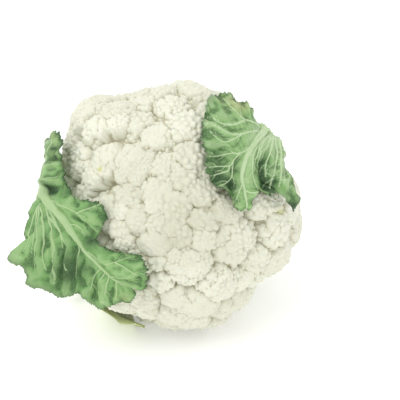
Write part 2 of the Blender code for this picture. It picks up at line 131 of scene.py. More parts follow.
# The branches that carry the florets show behind the rim, and each forks once on its way out.
BRANCHES = 11
BRANCH_BEND = 0.06
BRANCH_WAVES = (9, 20)
GROOVE_DEPTH = 0.0060
BRANCHES_FADE_IN = (-0.35, -0.55)
FORK_COLATITUDES = (math.radians(140), math.radians(124))
BRANCHES_END = (math.radians(157), math.radians(149))

# Long lists of directions are worked through in lots, to save memory.
LOT = 20000
RESTING_LOT = 2048

# The curd's mesh, finer from that height of a unit sphere on; its paint: yellow specks, cream and painted
# shade.
CURD_TRIANGLES = 197000
FACE_FROM = 0.12
SPECKS = ((-59.8, 25.8, 1.4, 0.9), (-59, 27.5, 1, 0.6), (73.8, -5, 2.2, 0.6))
# Spots partly of the flesh's cream and partly of painted shade, strongest over the face's middle.
CREAM_AND_SHADE = ((4, -12, 36, 1.0), (-42, 22, 22, 0.35), (4, 40, 20, 0.25))
TINT_UNEVENNESS = 0.4
CREAM_AND_SHADE_STRENGTH = 0.85
# Paint fades in: bare branch by how far it stands out, and each kind by height of a unit sphere.
BARE_BY = (-0.001, 0.002)
BRANCH_FROM = (-0.2, -0.4)
SPECK_FROM = (0.2, 0.4)
CREAM_AND_SHADE_FROM = (0.0, 0.4)
# Points this close to the floor are put on it.
NEARLY_ON_FLOOR = 0.0004
# Crevices: what counts as deep, against the skin evened over that many rounds. Deep ones get painted shade.
CREVICE_BASE = 0.18
CREVICE_SCALES = ((6, 0.0006), (30, 0.0016), (160, 0.0120))

# Leaves. A blade and its stalk are one sheet, thick along the rib and thin at the margin.
BLADE_THICKNESS = 0.0007
STALK_THICKNESS = 0.0062
ROWS_CLOSER_AT_RIB = 1.15
# How far a leaf stays off the knobs, the curd's skin and the core, and how steeply it falls from a knob.
LEAF_CLEARANCE = 0.0009
LEAF_GAP = 0.0005
OVER_CORE = 0.001
TENT_SLOPE = 0.55
SOFT_CONTACT = 0.0012
LIFT = 0.0010
FRILLS_PER_STATION = 0.525
FRILL_NARROWNESS = 1.6
FRILL_SHIFT = 1.3
SKIN_ROUNDS = 30
# Teeth of the margin, with how their spacing drifts, and the lobes that they sit on.
TOOTH = 0.0042
TOOTH_DRIFTS = ((0.5, 0.0061), (0.3, 0.0143))
SMALL_TOOTH = 0.0017
SMALL_TOOTH_DRIFT = (0.4, 0.0029)
TOOTH_REACH = 0.8
TEETH_NEED_WIDTH = (0.004, 0.012)
TEETH_HUG_MARGIN = 7
LOBE = 0.0070
MOST_CUT = 0.25
# Veins narrow to that share at the tip. Side veins: spacing, length, how far ahead they look, half width.
VEIN_TIP_SHARE = 0.55
TWIG_SPACING = 0.0065
TWIG_LENGTH = 0.0075
TWIG_AHEAD = 0.002
TWIG_WIDTH = 0.00034
# A side vein's middle and tip, as shares of its reach: beside the vein that it leaves, and ahead.
TWIG_MIDDLE = (0.34, 0.42)
TWIG_TIP = (0.50, 0.95)
# The blade swells along its veins and puckers between them.
SWELL_WIDTH = 0.0030
PUCKER_WIDTH = 0.0022
PUCKER_LIMITS = (-0.0009, 0.0012)
PUCKER_SIZE = 0.0036
# The curled margin ruffles round an even curl: strength, size and seed of each set of waves.
EVEN_CURL = 0.2
RUFFLES = ((1.0, 0.0075, 33), (0.5, 0.0032, 34))
# How high veins, blisters, streaks and the ridges of a stalk stand out.
VEIN_HEIGHT = 0.00060
TWIG_HEIGHT = 0.00025
BLISTER_HEIGHT = 0.0010
BLISTER_SIZE = 0.0017
STREAK_HEIGHT = 0.00018
RIDGE_HEIGHT = 0.00016
# A stalk's fibres: their widths, how strong each kind is, how they wander, and the lumps between them.
FIBRE_WIDTHS = (0.00062, 0.00029)
FIBRE_STRENGTHS = (0.6, 0.5)
FIBRE_WANDER = (0.0004, 0.02)
FIBRE_LUMPS = (0.3, 0.0022)
# Streaks run out from the rib. Their size is in stations, and the way to the margin counts as this many.
STREAK_SIZE = 0.24
STREAK_SPREAD = 0.55
# The pale paint of a rib: how strong it is on average, how much the grooves change it, and their width.
RIB_PALENESS = 0.82
RIB_GROOVE = 0.18
RIB_GROOVE_WIDTH = 0.00045
MARGIN_NARROWNESS = 14
# High places of a leaf are painted lighter and low ones darker: painted light and shade.
# Light and shade: what counts as high, against the blade evened over that many rounds, and likewise for its
# veins.
RELIEF_LIGHT_SCALES = ((60, 0.0011), (8, 0.0004))
RAISED_LIGHT_AND_SHADE = (8, 0.00035)

# The stem, and where every stalk starts beside it: colatitude, distance from the centre, half width.
STEM_RADIUS = 0.0235
STEM_END = 0.084
STEM_TAPER = 0.92
STEM_EDGE = 0.0012
STEM_RING = (0.0165, 0.0011)
# The stem's side begins there, its grain fades at both ends, and its cut end is rough inside the edge.
STEM_SIDE = (0.019, 0.0215)
STEM_FADE = 0.002
STEM_GRAIN = (0.00025, 0.004)
CUT_FADE = (0.0016, 0.0004)
CUT_SUNK = 0.00025
CUT_GRAIN = (0.0002, 0.006)
CUT_INSIDE = (0.022, 0.018)
SCAR_BELOW_ROOT = 0.003
GAP = 0.0004
STALK_ROOT = (161, 0.0765, 0.0046)
LEAF_AZIMUTHS = (186, 44, 238)
SCAR = (0.0024, 0.0048, 0.0050)

# Greens of each skin: light and mid in patches, dark in hollows as painted shade, pale on veins and
# highlights.
GREENS = {
    "left_leaf_skin": (
        (0.205, 0.395, 0.128), (0.132, 0.305, 0.08), (0.02, 0.08, 0.015), (0.4, 0.55, 0.275),
    ),
    "right_leaf_skin": (
        (0.228, 0.405, 0.144), (0.152, 0.325, 0.086), (0.016, 0.076, 0.01), (0.5, 0.64, 0.375),
    ),
    "under_leaf_skin": (
        (0.6, 0.67, 0.33), (0.52, 0.6, 0.26), (0.42, 0.48, 0.17), (0.7, 0.76, 0.48),
    ),
    "stalk_skin": (
        (0.56, 0.66, 0.36), (0.47, 0.59, 0.29), (0.3, 0.43, 0.15), (0.66, 0.73, 0.47),
    ),
}
YELLOWED = (0.37, 0.4, 0.16)
FIBRE_GREEN = (0.385, 0.54, 0.225)
FIBRE_PALE = (0.49, 0.63, 0.325)
ROOT_WHITE = (0.8, 0.82, 0.64)
CUT_WHITE = (0.86, 0.87, 0.7)
STEM_FLESH = ((0.66, 0.71, 0.45), (0.74, 0.77, 0.56), (0.8, 0.8, 0.6))
STEM_RING_COLOUR = (0.55, 0.52, 0.27)
CURD_TOPS = (0.77, 0.775, 0.65)
# Partly the flesh's cream, partly painted shade over the face's middle.
CURD_CREAM_AND_SHADE = (0.59, 0.582, 0.455)
CURD_PALEST = (0.78, 0.79, 0.685)
# The next two are painted shade for the crevices.
CURD_SHADE = (0.62, 0.605, 0.47)
CURD_DEEPEST_SHADE = (0.42, 0.385, 0.27)
BRANCH_GREEN = (0.74, 0.77, 0.54)
SPECK_GREEN = (0.52, 0.56, 0.12)

# The floor, the light, and the photograph: its width, the head's centre in it, and the eye's distance.
FLOOR_WHITE = 0.93
FLOOR_GLOW = 0.20
SUN_STRENGTH = 0.85
SUN_WIDTH = math.radians(35)
SUN_FROM = (-0.42, -0.36, 0.83)
PHOTO_PIXELS = 400
CENTRE_PIXEL = (181, 205)
PIXELS_TO_CENTRE = 664
SENSOR = 36
LENS = PIXELS_TO_CENTRE / PHOTO_PIXELS * SENSOR
AIM_RIGHT = math.atan((PHOTO_PIXELS / 2 - CENTRE_PIXEL[0]) / PIXELS_TO_CENTRE)
AIM_UP = math.atan((CENTRE_PIXEL[1] - PHOTO_PIXELS / 2) / PIXELS_TO_CENTRE)


def unit(vectors):
    """The same directions, each of length 1."""
    return vectors / np.linalg.norm(vectors, axis=-1, keepdims=True)


def ramp(values, start, end):
    """0 up to the start, 1 from the end on, and even between them."""
    return np.clip((values - start) / (end - start), 0, 1)


def soft_max(one, other, width):
    """The larger of the two, with a fillet where they are closer than the width."""
    near = np.maximum(width - np.abs(one - other), 0)
    return np.maximum(one, other) + near**2 / (4 * width)


def around(azimuth, colatitude, reach):
    """A point by azimuth from +X and angle from the axis, in degrees, and distance from the centre."""
    turn, lean = math.radians(azimuth), math.radians(colatitude)
    level = math.sin(lean)
    return reach * np.array([math.cos(turn) * level, math.sin(turn) * level, math.cos(lean)])


def seen(right, up, reach):
    """The near point at that distance from the centre which the eye on the axis sees at (right, up)."""
    across = right**2 + up**2
    closest = EYE**2 / (across + EYE**2)
    spare = closest**2 - (EYE**2 - reach**2) / (across + EYE**2)
    share = closest - math.sqrt(max(0.0, spare))
    return np.array([right * share, up * share, EYE * (1 - share)])


def as_seen(points):
    """Where the eye sees points: right and up of the axis."""
    return points[..., :2] * (EYE / (EYE - points[..., 2:3]))


def floor_up():
    """The floor's upward direction in the head's own frame."""
    return np.array([0.0, math.cos(AXIS_RISE), math.sin(AXIS_RISE)])


def kept_above_floor(points, height=0.0, nearly=0.0):
    """Points under that height above the floor, or nearly, are moved straight up or down to it."""
    under = height - (points @ floor_up() + CENTRE[2])
    return points + np.where(under > -nearly, under, 0)[:, None] * floor_up()


def waves(points, size, seed, count=14):
    """Smooth noise from about -1 to 1: a sum of waves in many directions, with lumps of that size."""
    draw = np.random.default_rng(seed)
    ways = unit(draw.normal(size=(count, 3))) * draw.uniform(0.7, 1.3, (count, 1)) * math.pi / size
    return np.sin(points @ ways.T + draw.uniform(0, 2 * math.pi, count)).sum(-1) / math.sqrt(2 * count)


def head_width(azimuths):
    """Half the head's width in each direction round the axis, on a smooth closed curve."""
    given = np.array(WIDTHS_ROUND_THE_AXIS)
    place = np.mod(azimuths / (2 * math.pi) * len(given), len(given))
    first = place.astype(int)
    share = place - first
    share = share * share * (3 - 2 * share)
    return given[first] * (1 - share) + given[(first + 1) % len(given)] * share


def outline_reach(directions):
    """How far out the head's smooth outline is: a dome in front, a shallow cone behind the rim."""
    x, y, z = directions.T
    level = np.hypot(x, y)
    width = head_width(np.arctan2(y, x))
    depth = np.where(z > 0, FACE_DEPTH, BACK_FULLNESS * width)
    dome = 1 / np.sqrt((level / width) ** 2 + (z / depth) ** 2)
    rim_level, rim_back = RIM_SHARE * width, RIM_BACK_SHARE * width
    slope = (BACK_DEPTH - rim_back) / (rim_level - STEM_RADIUS)
    cone = (rim_back + slope * rim_level) / np.maximum(slope * level - z, 1e-6)
    flat = BACK_DEPTH / np.maximum(-z, 1e-6)
    behind = np.minimum(cone, flat)
    return np.where(z < 0, np.minimum(dome, behind), dome)


def floret_on_outline(direction, radius, stands_out=0.0):
    """A floret, as centre and radius, whose top is on the outline or stands out of it."""
    reach = outline_reach(direction[None])[0] + stands_out - radius
    return (*(direction * reach), radius)


def lay_out_florets(draw):
    """All the florets, as rows of centre and radius: the ones it rests on, the face's, the spare ones."""
    florets = []
    for azimuth, colatitude, radius in RESTING_FLORETS:
        direction = around(azimuth, colatitude, 1.0)
        reach = (CENTRE[2] - radius + FLATTENED) / -(direction @ floor_up())
        florets.append((*(direction * reach), radius))
    for right, up, radius in FACE_FLORETS:
        florets.append(floret_on_outline(unit(seen(right, up, FACE_REACH)), radius))
    for i in range(SPARE_PLACES):
        height = 1 - (i + 0.5) / SPARE_PLACES * (1 - math.cos(LOWEST_SPARE))
        direction = around(i * math.degrees(GOLDEN_ANGLE), math.degrees(math.acos(height)), 1.0)
        radius = draw.uniform(*SPARE_RADIUS)
        row = floret_on_outline(direction, radius, draw.uniform(*SPARE_STANDS_OUT))
        if all(math.dist(row[:3], other[:3]) > CLOSEST_SHARE * (radius + other[3]) for other in florets):
            florets.append(row)
    return np.array(florets)


def knob_radius(floret_radius):
    """The usual size of the knobs on a floret."""
    return np.clip(KNOB_SHARE * floret_radius, *KNOB_RADIUS)


def spiral(count, lowest, turn):
    """Directions that are spread evenly from straight up down to that height."""
    heights = 1 - (1 - lowest) * (np.arange(count) + 0.5) / count
    turns = np.arange(count) * GOLDEN_ANGLE + turn
    level = np.sqrt(1 - heights**2)
    return np.stack([level * np.cos(turns), level * np.sin(turns), heights], 1)


def turned_to(local, outward):
    """Directions given round +Z, turned to go round that outward direction."""
    return local @ np.array(Vector(outward).normalized().to_track_quat("Z", "Y").to_matrix()).T


def knobs_of(floret, draw):
    """The knobs that stand out of one floret, on a spiral over the side of it that faces out."""
    centre, radius = floret[:3], floret[3]
    knob = knob_radius(radius)
    count = max(LEAST_KNOBS, int(KNOB_COVER * (radius / knob - 1) ** 2))
    turned = turned_to(spiral(count, KNOBS_GO_DOWN_TO, draw.uniform(0, 2 * math.pi)), centre)
    turned = unit(turned + draw.normal(0, KNOB_JITTER, turned.shape))
    sizes = knob * draw.uniform(*KNOB_UNEVENNESS, count)
    return np.column_stack([centre + turned * (radius - sizes[:, None]), sizes])


def lay_out_curd():
    """Florets, their bodies a little inside their knobs, the knobs, and the number of each knob's floret."""
    draw = np.random.default_rng(7)
    florets = lay_out_florets(draw)
    knobs = [knobs_of(floret, draw) for floret in florets]
    floret_of = np.repeat(np.arange(len(florets)), [len(rows) for rows in knobs])
    knobs = np.concatenate(knobs)

    # The same domes, flatter: each floret's top stays where it is, and its middle goes further in.
    wider = np.full(len(florets), FLATTER)
    wider[: len(RESTING_FLORETS)] = 1
    bodies = florets.copy()
    bodies[:, :3] -= unit(florets[:, :3]) * ((wider - 1) * florets[:, 3])[:, None]
    bodies[:, 3] *= wider
    towards = unit(knobs[:, :3] - bodies[floret_of, :3])
    knobs[:, :3] = bodies[floret_of, :3] + towards * (bodies[floret_of, 3] - knobs[:, 3])[:, None]
    sunk = np.random.default_rng(5).uniform(*SMOOTH_AND_KNOBBLY, len(florets))
    bodies[:, 3] -= sunk * knob_radius(florets[:, 3])
    return florets, bodies, knobs, floret_of


def outermost_two(directions, spheres, cells=1600):
    """The two furthest ways out of the spheres in each direction, and the numbers of those spheres."""
    middles = spiral(cells, -1, 0)
    cell_of = np.concatenate([
        (directions[i : i + LOT].astype(np.float32) @ middles.T.astype(np.float32)).argmax(1)
        for i in range(0, len(directions), LOT)
    ])
    length = np.linalg.norm(spheres[:, :3], axis=1)
    towards = spheres[:, :3] / length[:, None]
    spread = np.arcsin(np.clip(spheres[:, 3] / length, 0, 1)) + 1.25 * math.sqrt(4 * math.pi / cells)
    spare = spheres[:, 3] ** 2 - length**2
    order = np.argsort(cell_of, kind="stable")
    starts = np.searchsorted(cell_of[order], np.arange(cells + 1))
    reach = np.zeros((2, len(directions)))
    number = np.zeros((2, len(directions)), int)
    for cell in range(cells):
        here = order[starts[cell] : starts[cell + 1]]
        near = np.flatnonzero(np.arccos(np.clip(towards @ middles[cell], -1, 1)) < spread)
        if len(here) == 0 or len(near) < 2:
            continue
        along = directions[here] @ spheres[near, :3].T
        inside = spare[near] + along**2
        out = np.where((inside > 0) & (along > 0), along + np.sqrt(np.maximum(inside, 0)), 0)
        last_two = np.argpartition(out, len(near) - 2, axis=1)[:, -2:]
        values = np.take_along_axis(out, last_two, 1)
        first = values.argmax(1)
        rows = np.arange(len(here))
        reach[:, here] = values[rows, first], values[rows, 1 - first]
        number[:, here] = near[last_two[rows, first]], near[last_two[rows, 1 - first]]
    return reach, number


def core_reach(directions):
    """The body under the florets: well inside them in front, and their branches behind the rim."""
    outline = outline_reach(directions)
    behind = ramp(directions[:, 2], *BRANCHES_FADE_IN)
    turns = np.arctan2(directions[:, 1], directions[:, 0]) / (2 * math.pi)
    lean = np.arccos(np.clip(directions[:, 2], -1, 1))
    forked = ramp(lean, *FORK_COLATITUDES)
    down, round_axis = BRANCH_WAVES
    groove = 0
    for branches, share in ((BRANCHES, 1 - 0.5 * forked), (2 * BRANCHES, 0.5 * forked)):
        bend = BRANCH_BEND * np.sin(down * lean + round_axis * turns)
        across = 2 * np.mod(turns * branches + bend, 1) - 1
        groove = groove + share * (1 - np.sqrt(1 - across**2))
    grooved = behind * ramp(lean, *BRANCHES_END)
    return outline * (CORE_SHARE + (1 - CORE_SHARE) * behind) - GROOVE_DEPTH * groove * grooved


def lay_out_head():
    """Everything that shapes the white mass: its florets, knobs and beads, and who owns each sphere."""
    florets, bodies, knobs, floret_of = lay_out_curd()
    head = {
        "florets": florets,
        "knobs": knobs,
        "spheres": np.concatenate([bodies, knobs]),
        "owners": np.concatenate([np.arange(len(bodies)), floret_of]),
    }
    head["beads"] = lay_out_beads(head)
    return head


def knobbly_skin(directions, head):
    """How far out florets and knobs reach, and whose skin it is. The creases between are narrow."""
    reach, number = outermost_two(directions, head["spheres"])
    floret, other_floret = head["owners"][number]
    skin = soft_max(reach[0], reach[1], np.where(floret == other_floret, SOFT_JOIN, TIGHT_JOIN))
    deep = np.clip((outline_reach(directions) - skin) / CREASE_DEPTH, 0, 1)
    return skin + CREASE_DEPTH * (deep - deep**CREASE_STEEPNESS) - KNOBS_SINK, floret


def lay_out_beads(head):
    """Beads all over the skin of the florets, as rows of centre and radius."""
    draw = np.random.default_rng(11)
    beads = []
    for floret in head["florets"]:
        usual = draw.uniform(*BEAD_RADIUS)
        count = int(BEAD_COVER * (floret[3] / usual) ** 2)
        local = turned_to(spiral(count, BEADS_GO_DOWN_TO, draw.uniform(0, 2 * math.pi)), floret[:3])
        local = unit(local + draw.normal(0, BEAD_JITTER * usual / floret[3], local.shape))
        sizes = usual * draw.uniform(*BEAD_UNEVENNESS, count)
        heights = sizes * draw.uniform(*BEAD_HEIGHT)
        beads.append(np.column_stack([floret[:3] + local * floret[3], local, sizes, heights]))
    floret_of = np.repeat(np.arange(len(beads)), [len(rows) for rows in beads])
    beads = np.concatenate(beads)
    directions = unit(beads[:, :3])
    skin, floret = knobbly_skin(directions, head)
    centres = directions * skin[:, None] + beads[:, 3:6] * (beads[:, 7:8] - beads[:, 6:7])
    return np.column_stack([centres, beads[:, 6]])[floret == floret_of]


def curd_skin(directions, head):
    """The white mass's full skin: how far out it is, how much of it is bare branch, and whose skin it is."""
    bent = directions * FACE_REACH
    (wide, far), (narrow, near) = SKIN_BENDS
    shift = [waves(bent, wide, seed) * far + waves(bent, narrow, seed + 3) * near for seed in (1, 2, 3)]
    bent = unit(bent + np.stack(shift, 1))
    lumps, floret = knobbly_skin(bent, head)
    beads = outermost_two(bent, head["beads"], cells=4000)[0]
    fine = soft_max(lumps, soft_max(beads[0], beads[1], BEAD_JOIN), BEAD_JOIN)
    core = core_reach(bent)
    return soft_max(fine, core, CORE_JOIN), core - fine, floret


def coordinates(mesh):
    """The places of a mesh's points."""
    flat = np.empty(len(mesh.vertices) * 3, np.float32)
    mesh.vertices.foreach_get("co", flat)
    return flat.reshape(-1, 3).astype(float)


def set_coordinates(mesh, points):
    """Moves a mesh's points to those places."""
    mesh.vertices.foreach_set("co", points.astype(np.float32).ravel())
    mesh.update()


def mesh_from(form, name):
    """A mesh made from a bmesh, which is freed."""
    mesh = bpy.data.meshes.new(name)
    form.to_mesh(mesh)
    form.free()
    return mesh


def placed(name, data):
    """A new object in the scene."""
    made = bpy.data.objects.new(name, data)
    bpy.context.scene.collection.objects.link(made)
    return made


def set_attribute(mesh, name, values):
    """Paints a value on every point of a mesh."""
    mesh.attributes.new(name, "FLOAT", "POINT").data.foreach_set("value", values.astype(np.float32).ravel())


def evened(mesh, values, rounds):
    """Values at the points of a mesh, averaged with their neighbours' that many times."""
    ends = np.empty(len(mesh.edges) * 2, np.int32)
    mesh.edges.foreach_get("vertices", ends)
    one, other = ends.reshape(-1, 2).T
    count = np.bincount(one, minlength=len(values)) + np.bincount(other, minlength=len(values))
    for _ in range(rounds):
        total = np.bincount(one, values[other], len(values)) + np.bincount(other, values[one], len(values))
        values = 0.5 * values + 0.5 * total / count
    return values


def finish_piece(mesh, name, material, node):
    """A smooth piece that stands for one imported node, put where that node lies."""
    mesh.transform(HEAD)
    mesh.materials.append(material)
    mesh.shade_smooth()
    made = placed(name, mesh)
    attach(made, "root")
    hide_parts(node)


def build_curd(head, material):
    """The head's white mass: florets, their knobs and the beads on them, in one closed skin."""
    form = bmesh.new()
    bmesh.ops.create_icosphere(form, subdivisions=8, radius=1.0)
    on_face = [edge for edge in form.edges if min(vert.co.z for vert in edge.verts) > FACE_FROM]
    bmesh.ops.subdivide_edges(form, edges=on_face, cuts=1, use_grid_fill=True)
    bmesh.ops.triangulate(form, faces=[face for face in form.faces if len(face.verts) > 3])
    mesh = mesh_from(form, "cauliflower_curd")
    directions = unit(coordinates(mesh))

    skin, bareness, floret = curd_skin(directions, head)
    # Painted shade: how deep each point lies in its crevice.
    set_attribute(mesh, "crevice_shade", crevices(mesh, skin))
    set_attribute(mesh, "branch", ramp(bareness, *BARE_BY) * ramp(directions[:, 2], *BRANCH_FROM))
    flat = as_seen(directions * skin[:, None])
    set_attribute(mesh, "speck", spots(flat, SPECKS) * ramp(directions[:, 2], *SPECK_FROM))
    # A random tint for each floret, and spots that are partly cream and partly painted shade.
    uneven = TINT_UNEVENNESS * np.random.default_rng(3).uniform(0, 1, len(head["florets"]))[floret]
    cream_and_shade = CREAM_AND_SHADE_STRENGTH * spots(flat, CREAM_AND_SHADE) * ramp(directions[:, 2], *CREAM_AND_SHADE_FROM)
    set_attribute(mesh, "tint_and_shade", np.clip(uneven + cream_and_shade, 0, 1))
    set_coordinates(mesh, kept_above_floor(directions * skin[:, None]))

    made = placed("full_curd", mesh)
    thin = made.modifiers.new("thin", "DECIMATE")
    thin.ratio = CURD_TRIANGLES / len(mesh.polygons)
    seen_by = bpy.context.evaluated_depsgraph_get()
    thinned = bpy.data.meshes.new_from_object(made.evaluated_get(seen_by))
    bpy.data.objects.remove(made)
    set_coordinates(thinned, kept_above_floor(coordinates(thinned), nearly=NEARLY_ON_FLOOR))
    finish_piece(thinned, "cauliflower_curd", material, "curd")


def crevices(mesh, skin):
    """How deep a point lies in the crevices around it, 0 on a top to 1 deep down: the share of painted
    shade.
    """
    depth = CREVICE_BASE
    for rounds, scale in CREVICE_SCALES:
        depth = depth + (evened(mesh, skin, rounds) - skin) / scale
    return np.clip(depth, 0, 1)


def smooth_path(points, places):
    """A smooth curve through the points, at each place: 0 is the first point, 1 the second."""
    points = np.array(points)
    padded = np.concatenate([2 * points[:1] - points[1:2], points, 2 * points[-1:] - points[-2:-1]])
    first = np.clip(places.astype(int), 0, len(points) - 2)
    t = (places - first)[:, None]
    a, b, c, d = (padded[first + k] for k in range(4))
    return 0.5 * (2 * b + (c - a) * t + (2 * a - 5 * b + 4 * c - d) * t**2 + (3 * b - a - 3 * c + d) * t**3)


def resting_reach(directions, knobs):
    """How far out a leaf has to be to lie on the knobs: it falls away from each by TENT_SLOPE at most."""
    length = np.linalg.norm(knobs[:, :3], axis=1)
    tops = length + knobs[:, 3]
    towards = (knobs[:, :3] / length[:, None]).T
    highest = np.empty(len(directions))
    for start in range(0, len(directions), RESTING_LOT):
        some = slice(start, start + RESTING_LOT)
        angle = np.arccos(np.clip(directions[some] @ towards, -1, 1))
        away = np.maximum(angle * tops - knobs[:, 3], 0)
        highest[some] = (tops - TENT_SLOPE * away).max(1)
    return np.maximum(highest, core_reach(directions) + OVER_CORE)


def evened_grid(values, rounds):
    """Values on a leaf's grid, averaged with their four neighbours' that many times."""
    for _ in range(rounds):
        padded = np.pad(values, 1, mode="edge")
        values = (padded[:-2, 1:-1] + padded[2:, 1:-1] + padded[1:-1, :-2] + padded[1:-1, 2:]) / 4
    return values


def stretched_over(rest, rounds):
    """A skin stretched over what it rests on: it is evened again and again, but never goes below."""
    skin = rest
    for _ in range(rounds):
        skin = np.maximum(evened_grid(skin, 1), rest)
    return skin


def distance_along(points):
    """How far along a line each of its points lies."""
    return np.concatenate([[0], np.cumsum(np.linalg.norm(np.diff(points, axis=0), axis=1))])


def teeth_along(edge, lobes):
    """How far the margin reaches out along an edge, from about -1 to 1: saw teeth on larger lobes."""
    far = distance_along(edge)
    coarse = far / TOOTH
    for strength, size in TOOTH_DRIFTS:
        coarse = coarse + strength * np.sin(far / size)
    fine = far / SMALL_TOOTH + SMALL_TOOTH_DRIFT[0] * np.sin(far / SMALL_TOOTH_DRIFT[1])
    teeth = TOOTH_REACH * np.mod(coarse, 1) + TOOTH_REACH * np.mod(fine, 1) - TOOTH_REACH
    return teeth + lobes * waves(edge, LOBE, seed=21)


def side_veins(run, first):
    """Short veins that leave a vein on both sides in turn and bend towards its tip."""
    run = np.array(run)
    far = distance_along(run)
    veins = []
    starts = np.arange(first * TWIG_SPACING, far[-1] - 0.3 * TWIG_SPACING, TWIG_SPACING)
    for number, start in enumerate(starts):
        root = np.array([np.interp(start, far, run[:, k]) for k in range(2)])
        ahead = np.array([np.interp(start + TWIG_AHEAD, far, run[:, k]) for k in range(2)]) - root
        ahead = ahead / max(np.linalg.norm(ahead), 1e-9)
        beside = np.array([-ahead[1], ahead[0]]) * (1 if number % 2 else -1)
        reach = TWIG_LENGTH * (0.75 + 0.5 * math.sin(7.3 * number) ** 2)
        bends = [root + reach * (out * beside + on * ahead) for out, on in (TWIG_MIDDLE, TWIG_TIP)]
        veins.append((root, *bends))
    return veins


def vein_lines(places, runs, width):
    """How much a point lies on a vein, 0 to 1, and how far it is from the nearest one."""
    flat = places.reshape(-1, 2)
    line = np.zeros(len(flat))
    distance = np.full(len(flat), 1.0)
    for run in runs:
        fine = smooth_path(run, np.linspace(0, len(run) - 1, 4 * len(run)))
        for i in range(len(fine) - 1):
            along = fine[i + 1] - fine[i]
            share = np.clip((flat - fine[i]) @ along / max(along @ along, 1e-12), 0, 1)
            apart = np.linalg.norm(flat - fine[i] - share[:, None] * along, axis=1)
            here = width * (1 - (1 - VEIN_TIP_SHARE) * (i + share) / (len(fine) - 1))
            line = np.maximum(line, np.exp(-((apart / here) ** 2)) * (0.45 + 0.55 * here / width))
            distance = np.minimum(distance, apart)
    return line.reshape(places.shape[:-1]), distance.reshape(places.shape[:-1])


def folds(places, rows):
    """Long soft ridges, or valleys where the height is negative: height, half width and course of each."""
    total = np.zeros(places.shape[:-1])
    for height, width, run in rows:
        total += height * np.exp(-((vein_lines(places, (run,), width)[1] / width) ** 2))
    return total


def spots(places, rows):
    """Soft round spots. A row holds right, up and radius in millimetres, then strength."""
    total = np.zeros(places.shape[:-1])
    for right, up, radius, strength in rows:
        apart = (places - in_metres((right, up))) / in_metres(radius)
        total += strength * np.exp(-(apart**2).sum(-1))
    return total


def kept_above(rest, reach):
    """That reach, or what it rests on where that is further out, with a soft change between."""
    apart = reach - rest
    return rest + 0.5 * (apart + np.sqrt(apart**2 + SOFT_CONTACT**2))


def leaf_grid(leaf, columns, rows):
    """A leaf's grid before it is laid down. Columns run from stem to tip, rows from margin to margin."""
    stations, first_blade = leaf["stations"], leaf["first_blade"]
    places = np.linspace(0, len(stations) - 1, columns + 1)
    rib, left, right = (smooth_path([s[k] for s in stations], places) for k in range(3))
    across = np.linspace(-1, 1, rows + 1)
    across = np.sign(across) * np.abs(across) ** ROWS_CLOSER_AT_RIB
    side = np.where(across < 0, 0, 1)
    margin = np.stack([left, right])[side].transpose(1, 0, 2)
    in_blade = ramp(places, first_blade, max(len(stations) - 1, first_blade + 1))
    return SimpleNamespace(
        places=places,
        rib=rib,
        edges=(left, right),
        side=side,
        margin=margin,
        in_blade=in_blade,
        blade=ramp(in_blade, 0, 0.10)[:, None],
        width=np.maximum(np.linalg.norm(margin - rib[:, None], axis=2), 0.002),
        share=np.abs(across)[None, :] * np.ones((columns + 1, 1)),
    )


def toothed(leaf, grid):
    """The grid's points, with small teeth cut into the margin."""
    rib, share = grid.rib[:, None], grid.share
    tooth = [teeth_along(edge, leaf["lobes"]) for edge in grid.edges]
    tooth = leaf["teeth"] * np.stack(tooth)[grid.side].T
    cut = grid.blade * ramp(grid.width, *TEETH_NEED_WIDTH) * np.clip(tooth / grid.width, -MOST_CUT, MOST_CUT)
    points = rib * (1 - share[..., None]) + grid.margin * share[..., None]
    return points + (grid.margin - rib) * (cut * share**TEETH_HUG_MARGIN)[..., None]


def laid_down(leaf, grid, directions, head):
    """How far out the head's skin is under the leaf, and how far out the leaf's inner face is."""
    share = grid.share
    length = np.linalg.norm(grid.rib, axis=1)[:, None] * (1 - share)
    length = length + np.linalg.norm(grid.margin, axis=2) * share
    wave = np.sin(2 * math.pi * FRILLS_PER_STATION * grid.places[:, None] + FRILL_SHIFT * grid.side)
    length = length + leaf["frill"] * grid.blade * wave * share**FRILL_NARROWNESS
    ways = directions.reshape(-1, 3)
    rest = resting_reach(ways, head["knobs"]) + LEAF_CLEARANCE
    rest = np.maximum(rest, curd_skin(ways, head)[0] + LEAF_GAP).reshape(length.shape)
    rest = stretched_over(rest, SKIN_ROUNDS)
    return rest, kept_above(rest, length) - leaf["cup"] * share**2


def blade_relief(leaf, grid, points, flat):
    """The veins and side veins, and how the blade swells along them, sinks between them and curls."""
    line, from_vein = vein_lines(flat, leaf["veins"], leaf["vein_width"])
    twigs = []
    for number, run in enumerate(leaf["veins"]):
        if number not in leaf["bare_veins"]:
            twigs += side_veins(run, 0.4 + 0.9 * math.sin(2.3 * number) ** 2)
    twig_line, from_twig = vein_lines(flat, twigs, TWIG_WIDTH)
    swell = leaf["swell"] * np.exp(-((from_vein / SWELL_WIDTH) ** 2))
    pucker = leaf["pucker"] * (np.minimum(from_twig, from_vein) / PUCKER_WIDTH - 0.5)
    pucker = np.clip(pucker, *PUCKER_LIMITS) + 0.5 * leaf["pucker"] * waves(points, PUCKER_SIZE, seed=31)
    ruffle = EVEN_CURL
    for strength, size, seed in RUFFLES:
        ruffle = ruffle + strength * waves(points, size, seed)
    curl = np.array(leaf["curl"])[grid.side] * grid.share**6 * ruffle
    free = grid.blade * ramp(grid.share * grid.width, 0.0, 0.006)
    relief = free * (LIFT + swell + pucker + folds(flat, leaf["folds"])) + grid.blade * curl
    return line, twig_line, relief


